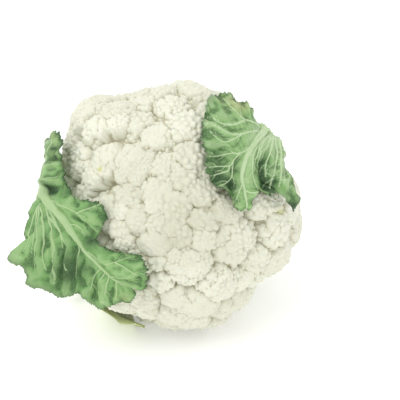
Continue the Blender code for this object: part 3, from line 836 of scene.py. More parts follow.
def stalk_relief(leaf, grid, points):
    """The stalk, which runs on as the rib: distances from its middle, profile, height and fibres."""
    from_rib = np.linalg.norm(points - grid.rib[:, None], axis=2)
    half = leaf["round"] * np.linalg.norm(grid.edges[0] - grid.rib, axis=1)
    half = np.minimum(half, np.interp(grid.in_blade, leaf["rib_at"], leaf["rib_half"]))
    height = np.interp(grid.in_blade, leaf["rib_at"], leaf["rib_height"])[:, None]
    profile = np.clip(1 - (from_rib / half[:, None]) ** 2, 0, 1) ** 0.8
    beside = from_rib * np.where(grid.side == 0, -1, 1)
    beside = beside + FIBRE_WANDER[0] * waves(grid.rib, FIBRE_WANDER[1], seed=41)[:, None]
    (wide, narrow), (strong, weak) = FIBRE_WIDTHS, FIBRE_STRENGTHS
    fibres = strong * np.cos(beside / wide) + weak * np.cos(beside / narrow + 1.0)
    return from_rib, profile, height, fibres + FIBRE_LUMPS[0] * waves(points, FIBRE_LUMPS[1], seed=42)


def blade_faces(leaf, columns, rows, head):
    """Both faces of a leaf, and the paint of its points."""
    grid = leaf_grid(leaf, columns, rows)
    blade, share = grid.blade, grid.share
    points = toothed(leaf, grid)
    directions = unit(points)
    rest, inner = laid_down(leaf, grid, directions, head)
    flat = as_seen(directions * inner[..., None])
    line, twig_line, relief = blade_relief(leaf, grid, points, flat)
    inner = np.where(blade > 0, kept_above(rest, inner + relief), inner)

    from_rib, profile, height, fibres = stalk_relief(leaf, grid, points)
    ridges = RIDGE_HEIGHT * fibres * profile**0.3 * (1 - 0.5 * blade)
    blisters = spots(flat, leaf["blisters"]) * waves(points, BLISTER_SIZE, seed=35)
    along = np.stack(np.broadcast_arrays(grid.places[:, None], STREAK_SPREAD * share, grid.side), -1)
    streaks = blade * ramp(share, 0.02, 0.15) * waves(along, STREAK_SIZE, seed=36, count=24)
    raised = VEIN_HEIGHT * line + TWIG_HEIGHT * twig_line + BLISTER_HEIGHT * blisters
    raised = blade * (raised + STREAK_HEIGHT * streaks)
    outer = inner + BLADE_THICKNESS + height * profile + ridges + raised

    # Painted light and shade: high places of the relief and raised veins lighter, low places darker.
    relief_light_and_shade = 0
    for rounds, scale in RELIEF_LIGHT_SCALES:
        relief_light_and_shade = relief_light_and_shade + (inner - evened_grid(inner, rounds)) / scale
    relief_light_and_shade = relief_light_and_shade + (raised - evened_grid(raised, RAISED_LIGHT_AND_SHADE[0])) / RAISED_LIGHT_AND_SHADE[1]
    everywhere = np.ones_like(line)
    is_cut = (grid.places > grid.places[-1] - 1e-6) & (blade[-1, 0] == 0)
    grooves = RIB_PALENESS + RIB_GROOVE * np.cos(from_rib / RIB_GROOVE_WIDTH)
    paint = {
        "vein": np.maximum(profile**0.5 * grooves, blade * line),
        "relief_light_and_shade": np.clip(0.5 + 0.5 * relief_light_and_shade, 0, 1),
        "twig": blade * twig_line,
        "margin": blade * share**MARGIN_NARROWNESS,
        "stalk": 1 - blade * everywhere,
        "fibre": np.clip(0.5 + 0.5 * fibres, 0, 1) * profile**0.3,
        "root": ramp(grid.places, 1.6, 0.0)[:, None] * everywhere,
        "cut": is_cut[:, None] * everywhere,
    }
    # Spots of painted shade and painted highlight, and of real yellowing.
    for name in ("shade", "highlight", "yellow"):
        paint[name] = np.clip(spots(flat, leaf[name + "s"]), 0, 1) * blade
    return directions * inner[..., None], directions * outer[..., None], paint


def build_leaf(name, leaf, head, columns, rows, material, node):
    """A leaf as one closed sheet, with its paint kept at its points."""
    form = bmesh.new()
    bmesh.ops.create_grid(form, x_segments=columns, y_segments=rows, size=1.0)
    grown = bmesh.ops.extrude_face_region(form, geom=form.faces[:], use_keep_orig=True)["geom"]
    outer_side = [item for item in grown if isinstance(item, bmesh.types.BMVert)]
    bmesh.ops.translate(form, verts=outer_side, vec=(0, 0, 1))
    inner, outer, paint = blade_faces(leaf, columns, rows, head)
    inner = kept_above_floor(inner.reshape(-1, 3), BLADE_THICKNESS).reshape(inner.shape)
    outer = kept_above_floor(outer.reshape(-1, 3)).reshape(outer.shape)
    layers = {key: form.verts.layers.float.new(key) for key in paint}
    for vert in form.verts:
        column = round((vert.co.x + 1) / 2 * columns)
        row = round((vert.co.y + 1) / 2 * rows)
        vert.co = (outer if vert.co.z > 0.5 else inner)[column, row]
        for key, layer in layers.items():
            vert[layer] = paint[key][column, row]
    bmesh.ops.recalc_face_normals(form, faces=form.faces)
    if form.calc_volume(signed=True) < 0:
        bmesh.ops.reverse_faces(form, faces=form.faces)
    finish_piece(mesh_from(form, name), name, material, node)


def stalk_station(rib, after, half_width):
    """The rib point of a stalk and its two edges, set off square to the way the stalk runs."""
    square = np.cross(after - rib, rib)
    square = square / np.linalg.norm(square) * half_width
    return rib, rib - square, rib + square


def stalk_run(*places):
    """Stations of a stalk from its root at the stem: azimuth, colatitude, reach and half width of each."""
    root_colatitude, root_reach, root_half = STALK_ROOT
    places = [(places[0][0], root_colatitude, root_reach, root_half), *places]
    ribs = [around(*place[:3]) for place in places]
    ribs.append(2 * ribs[-1] - ribs[-2])
    return [stalk_station(ribs[i], ribs[i + 1], place[3]) for i, place in enumerate(places)]


def stations_of(stalk, by_angles, by_eye=()):
    """A leaf's stations, each the point of its rib and those of its two margins.

    Those of the stalk come first, then rows as for around() and rows as for seen(), in millimetres.
    """
    blade = [tuple(around(*angles, reach / 1000) for *angles, reach in row) for row in by_angles]
    blade += [tuple(seen(*point) for point in row) for row in in_metres(by_eye)]
    return stalk_run(*stalk) + blade


# Veins as the eye sees them, each from its root to its tip.
LEFT_LEAF_VEINS = in_metres((
    ((-101, 1), (-106, -12), (-109, -24), (-113, -34)),
    ((-97, -1), (-93.5, -13), (-90.5, -22), (-89.5, -31), (-92, -40)),
    ((-95, -3), (-87, -18), (-82, -29), (-82.5, -38), (-80, -46)),
    ((-101, -1), (-101.5, -14), (-102, -26), (-104.5, -38), (-104, -48)),
    ((-102, -1), (-103, -11), (-105, -22), (-106, -35)),
    ((-100, -2), (-97.5, -14), (-97.5, -25), (-98.5, -35), (-96.5, -47)),
    ((-94, -9), (-88.5, -16), (-85, -23), (-85, -31)), ((-92.5, -40), (-89.5, -48), (-90, -56)),
    ((-92, 3), (-82, -1), (-72, -6), (-67, -12), (-59, -19)), ((-73, -6), (-64, -2), (-56, 1)),
    ((-79, -14), (-73, -15), (-68, -22)), ((-74, -28), (-74.5, -37), (-76.5, -45), (-75.5, -53)),
    ((-67, -34), (-61, -38), (-56, -41), (-49, -41), (-42, -39), (-35, -36)),
    ((-46, -41), (-40, -44), (-34, -48), (-26, -51)), ((-50, -52), (-44, -52), (-37, -51), (-30, -53)),
    ((-48, -54), (-40, -57), (-32, -60)), ((-58, -46), (-63, -52), (-65, -61)),
    ((-55, -49), (-59, -57), (-58, -65), (-52, -70)), ((-52, -51), (-53, -58), (-54, -65)),
    ((-47, -56), (-46, -62), (-46, -68)), ((-103, 16), (-94, 19), (-86, 20)),
    ((-101, 22), (-96, 33), (-91, 46)), ((-100, 26), (-93, 29), (-87, 29)),
))
RIGHT_LEAF_VEINS = in_metres((
    ((63, 50), (59.5, 46), (57.5, 41), (57, 35), (56, 29)),
    ((66, 49), (64.5, 43), (63.5, 37), (62.5, 30), (63, 21)),
    ((69, 47), (69.5, 41), (70, 34), (70.5, 22), (70, 13)),
    ((72.5, 43), (74.5, 36), (74, 28), (73, 17)),
    ((57, 56), (50, 60.5), (44, 62.5), (39, 68), (34, 73), (30, 78)),
    ((46, 61), (38, 57.5), (29, 59), (23, 62.5), (20, 65)),
    ((56, 53), (50, 52.5), (44.5, 51), (40, 48.5), (33, 45), (27.5, 46), (20, 54)),
    ((44.5, 51), (38, 50.5), (31, 53), (22, 57.5), (17.5, 57)),
    ((52, 44), (48, 40), (42, 37), (36, 37), (26, 35), (18.5, 34)),
    ((42, 37), (38, 32), (35, 28), (26, 27.5), (20, 27)), ((35, 28), (33, 24), (26, 22), (21, 20.5)),
    ((38, 31), (37.5, 25), (36, 19), (31, 15), (27, 13.5)), ((45, 16), (42, 10), (40, 3)),
    ((66, 51), (61, 48), (57, 44), (56, 38), (54, 31), (53.5, 25)),
    ((55, 42), (52, 36), (51, 28), (52, 18), (56, 10)), ((64, 48), (62, 42), (58, 38)),
    ((67.5, 50.5), (67, 44), (68, 35), (67.5, 28), (66, 19), (65, 12)),
    ((70, 48), (72.5, 41), (71.5, 33), (69, 28)), ((72, 39), (75.5, 33), (76.5, 25), (76, 13)),
    ((75, 31), (79, 22), (81, 14)), ((45, 12), (49, 9), (54, 9), (58, 10)),
))
UNDER_LEAF_VEINS = in_metres((
    ((-62, -70), (-70, -66), (-78, -62)), ((-50, -75), (-58, -72), (-66, -68)),
    ((-45, -78), (-38, -80), (-32, -81)),
))

PLAIN_LEAF = {
    "round": 1.12,
    "cup": 0.0,
    "bare_veins": (),
    "folds": (),
    "highlights": (),
    "shades": (),
    "yellows": (),
    "blisters": (),
}
# The leaf that comes round the left side and over the lower left of the face: rib, upper, lower margin.
LEFT_LEAF = {
    **PLAIN_LEAF,
    "bare_veins": (0, 1, 2, 3, 4, 5, 6, 7, 11),
    "vein_width": 0.00048,
    "yellows": (
        (-92, 50, 5, 0.7), (-40, -68, 6, 0.5), (-90, 37, 4.5, 0.35),
    ),
    "stations": stations_of(
        ((186, 144, 0.087, 0.0085), (188, 126, 0.098, 0.0100)),
        (
            ((186, 111, 101), (178, 108, 101), (194, 110, 101)),
            ((178, 96, 100), (163, 88, 98.5), (185, 96, 101)),
        ),
        (
            ((-99, 10, 100), (-90.5, 52.5, 104), (-103, 3, 102)),
            ((-96, 5, 100), (-86, 42, 100), (-107, -5, 108)),
            ((-94, 1, 100), (-86, 32, 98), (-110, -11, 112)),
            ((-90, -3, 99), (-84, 23, 95), (-110.5, -25, 116)),
            ((-87, -7, 98), (-82, 14, 93), (-125, -36.5, 130)),
            ((-83, -12, 97), (-75, 6, 91), (-113, -43.5, 124)),
            ((-80, -17, 96), (-64, 3, 87), (-111, -55, 125)),
            ((-76, -23, 95), (-55, -1, 84), (-98, -60, 118)),
            ((-73, -28, 94), (-55, -15, 84), (-86, -65, 111)),
            ((-70, -33, 93), (-59, -25, 86), (-76, -63, 105)),
            ((-65, -38, 92), (-50, -33, 86), (-70, -64, 102)),
            ((-60, -43, 91), (-37, -33, 85), (-64, -70, 101)),
            ((-55, -48, 91), (-27, -38, 85), (-56, -73, 99)),
            ((-50, -53, 91), (-24, -47, 86), (-46, -71, 96)),
            ((-44, -57, 91), (-24, -56, 88), (-36, -68, 93)),
            ((-37, -60, 91), (-28, -60, 90), (-32, -64, 92)),
        ),
    ),
    "first_blade": 3,
    "veins": LEFT_LEAF_VEINS,
    "teeth": 0.0022,
    "lobes": 0.15,
    "frill": 0.0012,
    "swell": 0.0010,
    "pucker": 0.0009,
    "curl": (0.0028, 0.0012),
    "blisters": (
        (-93, 37, 6.5, 1.2), (-78, -45, 10, 0.25), (-60, -26, 6, 0.35),
    ),
    "rib_at": (0.0, 0.08, 0.16, 0.30, 0.48, 0.58, 0.80, 1.0),
    "rib_half": (0.0110, 0.0085, 0.0040, 0.0030, 0.0026, 0.0015, 0.0012, 0.0006),
    "rib_height": (0.0055, 0.0050, 0.0036, 0.0026, 0.0020, 0.0014, 0.0010, 0.0003),
    "folds": in_metres((
        (-2, 2.2, ((-76, -31), (-77, -43), (-77, -59))),
        (-1.8, 2, ((-73, -33), (-70, -40), (-73, -49), (-69, -58))),
        (-1.8, 2, ((-82, -30), (-85, -38), (-86, -50), (-87, -59))),
        (-1.5, 2.2, ((-87, -33), (-94, -47))), (2.4, 2.2, ((-80, -26), (-81, -42), (-81, -62))),
        (2, 2, ((-91, -20), (-90, -36), (-91, -54))),
        (1.6, 2.8, ((-100, -10), (-101, -28), (-101, -45))),
        (-1.8, 3, ((-72, -27), (-66, -25), (-58, -24))),
        (2, 4.5, ((-86, 0), (-76, -3), (-66, -8), (-58, -13))),
        (-1.2, 1.6, ((-77, -9), (-69, -13), (-62, -20))),
        (1.5, 3.5, ((-58, -38), (-45, -46), (-34, -50))),
        (-1.8, 2.5, ((-64, -46), (-62, -56), (-62, -66))), (1.5, 2.2, ((-56, -54), (-56, -68))),
        (-1.2, 2, ((-49, -56), (-50, -69))), (-3, 3.5, ((-103, 12), (-97, 11), (-91, 11))),
        (3, 2.2, ((-105, 18), (-97, 17), (-86, 16))), (1.4, 2.8, ((-100, 22), (-96, 34), (-92, 46))),
        (-1.4, 1.6, ((-99, 30), (-93, 33), (-87, 32))),
    )),
    # Spots of painted highlight.
    "highlights": (
        (-95.5, 24, 3.5, 0.35), (-90.5, 44, 2.5, 0.40), (-85, -8, 6, 0.45), (-94, 0, 6, 0.5),
        (-60, -40, 4.5, 0.4),
    ),
    "shades": (
        (-98, 11, 4.8, 1.2), (-92, 10.5, 4, 1.0), (-93, 35, 5, 0.35), (-91, 40.5, 2.2, 0.90),
        (-89.5, 34, 2, 0.80), (-93, 47, 2, 0.80), (-96, 30, 1.6, 0.70), (-80, -38, 8.5, 0.62),
        (-76, -51, 8.5, 0.72), (-87, -48, 7, 0.50), (-66, -26, 5, 0.75), (-59, -26, 4.5, 0.60),
        (-67, -45, 4, 0.50), (-97, -25, 4.5, 0.35),
    ),
}
# The leaf that comes up behind the upper right edge and folds over it: rib, right side, left fan.
RIGHT_LEAF = {
    **PLAIN_LEAF,
    "vein_width": 0.00054,
    "yellows": (
        (44, 72, 5.5, 1.0), (37, 75.5, 5, 0.8), (29, 77, 3.5, 0.6), (17.5, 60, 3, 0.5),
    ),
    "stations": stations_of(
        ((44, 144, 0.085, 0.0085), (43, 126, 0.086, 0.0095)),
        (
            ((43, 111, 83), (36, 111, 84), (50, 111, 83)),
            ((42, 96, 78), (36, 96, 81), (48, 96, 79)),
            ((42, 84, 77), (37, 84, 81), (46, 84, 79)),
        ),
        (
            ((59, 53, 80), (65.5, 53.5, 83.5), (57, 58, 81)),
            ((58, 51, 83), (69, 50, 86), (55, 62, 84)),
            ((56, 49, 84.5), (71.5, 43, 87), (50, 67, 86)),
            ((54, 47, 86), (73.5, 34, 88), (47, 71, 89)),
            ((52, 44, 86), (76.5, 24, 89), (46, 75.5, 91)),
            ((50, 41, 86), (81, 14, 91), (37.5, 78, 90)),
            ((49, 38, 86), (85, 4, 93), (28.5, 80, 88.5)),
            ((47, 35, 85.5), (83, -4, 92.5), (20, 75, 87)),
            ((46, 31, 85), (77.5, 0, 90.5), (16, 63, 85.5)),
            ((45, 27, 84.5), (73.5, 7.5, 89), (15, 50, 84)),
            ((44, 23, 84), (68, 9.5, 87.5), (17, 39, 83)),
            ((44, 18, 84), (64, 7, 86.5), (18, 29, 82)),
            ((45, 14, 83.5), (60.5, 11, 86), (21, 20, 82)),
            ((46, 10, 83), (56.5, 10.5, 85), (27, 13, 82)),
            ((47, 5, 83), (53.5, 6, 84), (34, 7, 82)),
            ((48, 1, 82.5), (51.5, 0, 83), (38, -1, 82)),
            ((48, -2, 82.5), (49, -4, 83), (44, -5, 82)),
        ),
    ),
    "first_blade": 6,
    "veins": RIGHT_LEAF_VEINS,
    "teeth": 0.0028,
    "lobes": 0.45,
    "frill": 0.0012,
    "swell": 0.0008,
    "pucker": 0.0004,
    "curl": (0.0016, 0.0030),
    "blisters": (
        (80, 4, 6, 0.8), (22, 20, 7, 0.35), (21, 34, 7, 0.35),
    ),
    "rib_at": (0.0, 0.06, 0.15, 0.30, 0.50, 0.75, 1.0),
    "rib_half": (0.0085, 0.0050, 0.0030, 0.0022, 0.0017, 0.0012, 0.0005),
    "rib_height": (0.0055, 0.0042, 0.0028, 0.0020, 0.0016, 0.0010, 0.0003),
    "folds": in_metres((
        (-3.4, 4.2, ((60, 30), (61, 22), (62, 14))),
        (2.8, 3.4, ((57, 48), (51, 40), (47, 28), (46, 16), (48, 6))),
        (2.2, 3.2, ((70, 46), (71, 33), (73, 18), (76, 6))),
        (-2, 2.6, ((41, 33), (37, 24), (37, 12), (41, 3))), (1.5, 3, ((34, 22), (29, 17), (30, 12))),
        (0.9, 2.4, ((45, 67), (39, 76))), (-0.6, 2, ((50, 60), (42, 66), (37, 72))),
        (0.6, 2.2, ((40, 59), (26, 66))), (-0.6, 2, ((38, 54), (26, 60), (21, 61))),
        (0.8, 2.6, ((36, 41), (22, 43))), (-0.8, 2, ((30, 40), (20, 39))),
        (1, 2, ((30, 31), (20, 30))), (-1.2, 1.8, ((56, 44), (54.5, 34), (54.5, 24))),
        (1.2, 1.4, ((65, 46), (65.5, 34), (65.5, 22))), (-1, 1.4, ((73.5, 34), (74, 20))),
    )),
    # Spots of painted highlight.
    "highlights": (
        (64, 53, 6, 1.0), (58, 50, 6, 0.8), (51, 48, 6, 0.5), (51, 38, 5, 0.5), (47, 28, 5, 0.5),
        (46, 17, 5, 0.5), (62, 42, 6, 0.5), (70, 43, 5, 0.5), (72, 30, 5, 0.35),
    ),
    "shades": (
        (59, 31, 3, 0.70), (59, 25.5, 3.6, 0.90), (60, 19.5, 4.2, 1.20), (61.5, 13, 3.6, 1.00),
        (67, 17, 3.2, 0.90), (66.5, 11, 3, 0.90), (65.5, 27, 2.2, 0.60), (71, 22, 2.2, 0.50),
        (79, -1, 4, 0.80), (76, 8, 3.2, 0.60), (39, 25, 3.5, 0.75), (37, 13, 4.5, 0.85),
        (26, 33, 8, 0.75), (25, 20, 7, 0.95), (34, 16, 5, 0.65), (60, 34, 4, 0.40), (83, 1, 5, 0.45),
    ),
}
# The small yellowing leaf that is pressed under the lower left edge: rib, left, right margin.
UNDER_LEAF = {
    **PLAIN_LEAF,
    "vein_width": 0.00060,
    "stations": stations_of(
        ((238, 144, 0.085, 0.0060), (235, 127, 0.091, 0.0070)),
        (
            ((234, 116, 92), (227, 118, 92), (240, 117, 91)),
            ((235, 107, 93), (225, 109, 94), (243, 108, 91)),
            ((237, 99, 94), (226, 102, 95), (247, 100, 90.5)),
            ((240, 93, 93.5), (229, 96, 95), (250, 94, 90)),
            ((244, 88, 92.5), (235, 90, 94.5), (252, 89, 89.5)),
            ((249, 84, 91.5), (243, 85, 93), (253, 85, 89.5)),
        ),
    ),
    "first_blade": 3,
    "veins": UNDER_LEAF_VEINS,
    "teeth": 0.0014,
    "lobes": 0.9,
    "frill": 0.0008,
    "swell": 0.0005,
    "pucker": 0.0004,
    "curl": (0.0004, 0.0004),
    "rib_at": (0.0, 0.3, 0.6, 1.0),
    "rib_half": (0.0075, 0.0040, 0.0020, 0.0008),
    "rib_height": (0.0055, 0.0030, 0.0016, 0.0004),
}

# Cut stalks: azimuth, and the cut end's colatitude and distance from the centre.
CUT_HALF_WIDTH = 0.0100
CUT_STALKS = (
    (212, 104, 0.114),
    (268, 134, 0.096),
    (300, 127, 0.094),
    (335, 124, 0.097),
    (10, 121, 0.098),
    (80, 122, 0.099),
    (118, 120, 0.105),
    (153, 122, 0.101),
)


def cut_stalk(azimuth, colatitude, reach):
    """What is left of a cut leaf: a thick pale stalk that lies along the back of the head."""
    root_colatitude, root_reach, root_half = STALK_ROOT
    places = []
    for share in (0.25, 0.5, 0.75, 1.0):
        lean = root_colatitude + (colatitude - root_colatitude) * share
        lift = root_reach + (reach - root_reach) * share**1.2
        places.append((azimuth, lean, lift, root_half + (CUT_HALF_WIDTH - root_half) * share**0.7))
    stations = stalk_run(*places)
    thick = STALK_THICKNESS - BLADE_THICKNESS
    return {
        **UNDER_LEAF,
        "stations": stations,
        "first_blade": len(stations),
        "veins": (),
        "rib_at": (0.0, 1.0),
        "round": 1.02,
        "cup": 0.0022,
        "rib_half": (0.02, 0.02),
        "rib_height": (thick, thick),
    }


def stem_profile(top, low):
    """Half of the stem's section: across its top, down its side, round the edge and across the cut."""
    taper = STEM_RADIUS * STEM_TAPER
    inside, above = taper - STEM_EDGE, low + STEM_EDGE
    profile = [(0.0005, top), (STEM_RADIUS, top)]
    for k in range(1, 21):
        profile.append((STEM_RADIUS + (taper - STEM_RADIUS) * k / 20, top + (above - top) * k / 20))
    for turn in (0.4, 0.8, 1.2, 1.57):
        profile.append((inside + STEM_EDGE * math.cos(turn), above - STEM_EDGE * math.sin(turn)))
    return profile + [(inside * (1 - k / 18), low) for k in range(1, 18)]


def leaf_scars(turn, height):
    """How far the side of the stem swells where each leaf grew."""
    scar_height, scar_across, scar_along = SCAR
    root_height = STALK_ROOT[1] * math.cos(math.radians(STALK_ROOT[0])) - SCAR_BELOW_ROOT
    bulge = np.zeros(len(turn))
    for azimuth in (*(stalk[0] for stalk in CUT_STALKS), *LEAF_AZIMUTHS):
        apart = np.angle(np.exp(1j * (turn - math.radians(azimuth)))) * STEM_RADIUS
        away = -((apart / scar_across) ** 2) - ((height - root_height) / scar_along) ** 2
        bulge += scar_height * np.exp(away)
    return bulge


def build_stem(material):
    """The short thick stem, cut flat across, with a scar and a swelling where each leaf grew."""
    top, low = -(BACK_DEPTH + GAP), -STEM_END
    form = bmesh.new()
    ring = [form.verts.new((x, 0, z)) for x, z in stem_profile(top, low)]
    edges = [form.edges.new(pair) for pair in zip(ring[:-1], ring[1:])]
    whole = {"cent": (0, 0, 0), "axis": (0, 0, 1), "angle": 2 * math.pi, "steps": 120}
    bmesh.ops.spin(form, geom=ring + edges, use_merge=True, **whole)
    bmesh.ops.holes_fill(form, edges=[edge for edge in form.edges if edge.is_boundary], sides=0)
    bmesh.ops.recalc_face_normals(form, faces=form.faces)
    mesh = mesh_from(form, "cauliflower_stem")
    points = coordinates(mesh)
    level = np.hypot(points[:, 0], points[:, 1])
    turn = np.arctan2(points[:, 1], points[:, 0])
    height = points[:, 2]
    on_side = ramp(level, *STEM_SIDE) * ramp(height, low, low + STEM_FADE)
    on_side = on_side * ramp(height, top, top - STEM_FADE)
    out = on_side * (leaf_scars(turn, height) + STEM_GRAIN[0] * waves(points, STEM_GRAIN[1], seed=51))
    points[:, :2] *= (1 + out / np.maximum(level, 0.001))[:, None]
    cut = ramp(height, low + CUT_FADE[0], low + CUT_FADE[1])
    rough = CUT_SUNK + CUT_GRAIN[0] * waves(points, CUT_GRAIN[1], seed=52)
    points[:, 2] += cut * ramp(level, *CUT_INSIDE) * rough
    set_attribute(mesh, "cut", cut)
    set_attribute(mesh, "ring", np.exp(-(((level - STEM_RING[0]) / STEM_RING[1]) ** 2)) * cut)
    set_coordinates(mesh, points)
    finish_piece(mesh, "cauliflower_stem", material, "stem")


def feed(tree, value, socket):
    """Links another node's output to a socket, or sets the socket's own value."""
    if isinstance(value, bpy.types.NodeSocket):
        tree.links.new(value, socket)
    else:
        socket.default_value = value


def add(tree, kind, inputs=(), **settings):
    """A node with its settings and inputs. An input that is another node's output is linked."""
    made = tree.nodes.new(kind)
    for name, value in settings.items():
        setattr(made, name, value)
    for name, value in dict(inputs).items():
        feed(tree, value, made.inputs[name])
    return made


def blend(tree, share, one, other):
    """Two colours mixed by a share."""
    made = add(tree, "ShaderNodeMix", data_type="RGBA")
    for number, value in ((0, share), (6, one), (7, other)):
        feed(tree, (*value, 1) if isinstance(value, tuple) else value, made.inputs[number])
    return made.outputs[2]


def sum_of(tree, one, other, operation="ADD"):
    """Two values added, or put through another operation."""
    made = add(tree, "ShaderNodeMath", operation=operation)
    for socket, value in zip(made.inputs, (one, other)):
        feed(tree, value, socket)
    return made.outputs[0]


def between(tree, value, low, high, to_low=0.0, to_high=1.0):
    """A value that goes evenly from to_low to to_high while another goes from low to high."""
    made = add(tree, "ShaderNodeMapRange", {"Value": value, "From Min": low, "From Max": high})
    made.inputs["To Min"].default_value = to_low
    made.inputs["To Max"].default_value = to_high
    return made.outputs[0]


def layered(tree, colour, *layers):
    """A colour under others. Each layer has a value, where it fades in, how much at most, and a colour."""
    for value, start, end, most, over in layers:
        colour = blend(tree, between(tree, value, start, end, 0.0, most), colour, over)
    return colour


def painted(tree, name):
    """What is painted on the mesh under that name."""
    return add(tree, "ShaderNodeAttribute", attribute_name=name).outputs["Fac"]


def new_group(name, inputs, outputs):
    """A node group of floats: its tree, what it is given, its result and object coordinates."""
    group = bpy.data.node_groups.new(name, "ShaderNodeTree")
    sockets = group.interface
    for socket, usual in inputs.items():
        made = sockets.new_socket(socket, in_out="INPUT", socket_type="NodeSocketFloat")
        made.default_value = usual
    for socket in outputs:
        sockets.new_socket(socket, in_out="OUTPUT", socket_type="NodeSocketFloat")
    given = group.nodes.new("NodeGroupInput").outputs
    result = group.nodes.new("NodeGroupOutput").inputs
    return group, given, result, add(group, "ShaderNodeTexCoord").outputs["Object"]


def mottle_group():
    """Flesh mottling: large and small soft patches, and a fine grain for the surface's height."""
    usual = {"Patch Scale": 60.0, "Grain Scale": 900.0}
    group, given, result, place = new_group("flesh_mottle", usual, ("Patches", "Specks", "Grain"))
    patch = {"Vector": place, "Scale": given["Patch Scale"], "Detail": 3.0, "Roughness": 0.55}
    finer = sum_of(group, given["Patch Scale"], 5.0, "MULTIPLY")
    speck = {"Vector": place, "Scale": finer, "Detail": 2.0}
    grain = {"Vector": place, "Scale": given["Grain Scale"]}
    cells = add(group, "ShaderNodeTexVoronoi", grain, feature="SMOOTH_F1").outputs["Distance"]
    group.links.new(add(group, "ShaderNodeTexNoise", patch).outputs[0], result["Patches"])
    group.links.new(add(group, "ShaderNodeTexNoise", speck).outputs[0], result["Specks"])
    group.links.new(sum_of(group, 1.0, cells, "SUBTRACT"), result["Grain"])
    return group


def vein_net_group():
    """The net of finest veins in a leaf: 1 on a vein, 0 in the cells between."""
    group, given, result, place = new_group("vein_net", {"Scale": 280.0}, ("Net",))
    wobble = add(group, "ShaderNodeTexNoise", {"Vector": place, "Scale": 220.0, "Detail": 1.0})
    moved = add(group, "ShaderNodeVectorMath", {0: wobble.outputs["Color"]}, operation="SCALE")
    moved.inputs["Scale"].default_value = 0.0022
    bent = add(group, "ShaderNodeVectorMath", {0: place, 1: moved.outputs[0]}, operation="ADD")
    cells = {"Vector": bent.outputs[0], "Scale": given["Scale"]}
    edge = add(group, "ShaderNodeTexVoronoi", cells, feature="DISTANCE_TO_EDGE").outputs["Distance"]
    group.links.new(between(group, edge, 0.0, 0.14, 1.0, 0.0), result["Net"])
    return group


def new_material(name, **constants):
    """A material, its node tree and its shader. Constants are set on the shader's own sockets."""
    made = bpy.data.materials.new(name)
    made.use_nodes = True
    shader = made.node_tree.nodes["Principled BSDF"]
    for socket, value in constants.items():
        shader.inputs[socket.replace("_", " ")].default_value = value
    return made, made.node_tree, shader


def raise_by(tree, shader, height, distance, strength):
    """A bump from that height, straight into the shader."""
    bump = add(tree, "ShaderNodeBump", {"Height": height, "Distance": distance, "Strength": strength})
    tree.links.new(bump.outputs[0], shader.inputs["Normal"])


def curd_material(mottle):
    """Creamy white flesh, soft light in it, painted shade deep between florets and over the face's middle.
    """
    made, tree, shader = new_material(
        "curd_flesh",
        Subsurface_Weight=0.18,
        Subsurface_Radius=(0.0018, 0.0014, 0.0009),
        Subsurface_Scale=1.0,
        Specular_IOR_Level=0.35,
    )
    flesh = add(tree, "ShaderNodeGroup", {"Patch Scale": 45.0, "Grain Scale": 1100.0}, node_tree=mottle)
    crevice_shade = painted(tree, "crevice_shade")
    colour = layered(
        tree,
        # random tint per floret, and cream with painted shade over the face's middle
        blend(tree, painted(tree, "tint_and_shade"), CURD_TOPS, CURD_CREAM_AND_SHADE),
        (flesh.outputs["Patches"], 0.40, 0.70, 0.30, CURD_PALEST),
        # painted shade, deeper in the crevices between florets and beads
        (crevice_shade, 0.40, 0.85, 1.0, CURD_SHADE),
        (crevice_shade, 0.85, 1.0, 0.70, CURD_DEEPEST_SHADE),
        (painted(tree, "branch"), 0.0, 1.0, 1.0, BRANCH_GREEN),
        (painted(tree, "speck"), 0.0, 1.0, 1.0, SPECK_GREEN),
    )
    tree.links.new(colour, shader.inputs["Base Color"])
    roughness = between(tree, flesh.outputs["Specks"], 0.3, 0.7, 0.50, 0.66)
    tree.links.new(roughness, shader.inputs["Roughness"])
    raise_by(tree, shader, flesh.outputs["Grain"], 0.00035, 0.35)
    return made


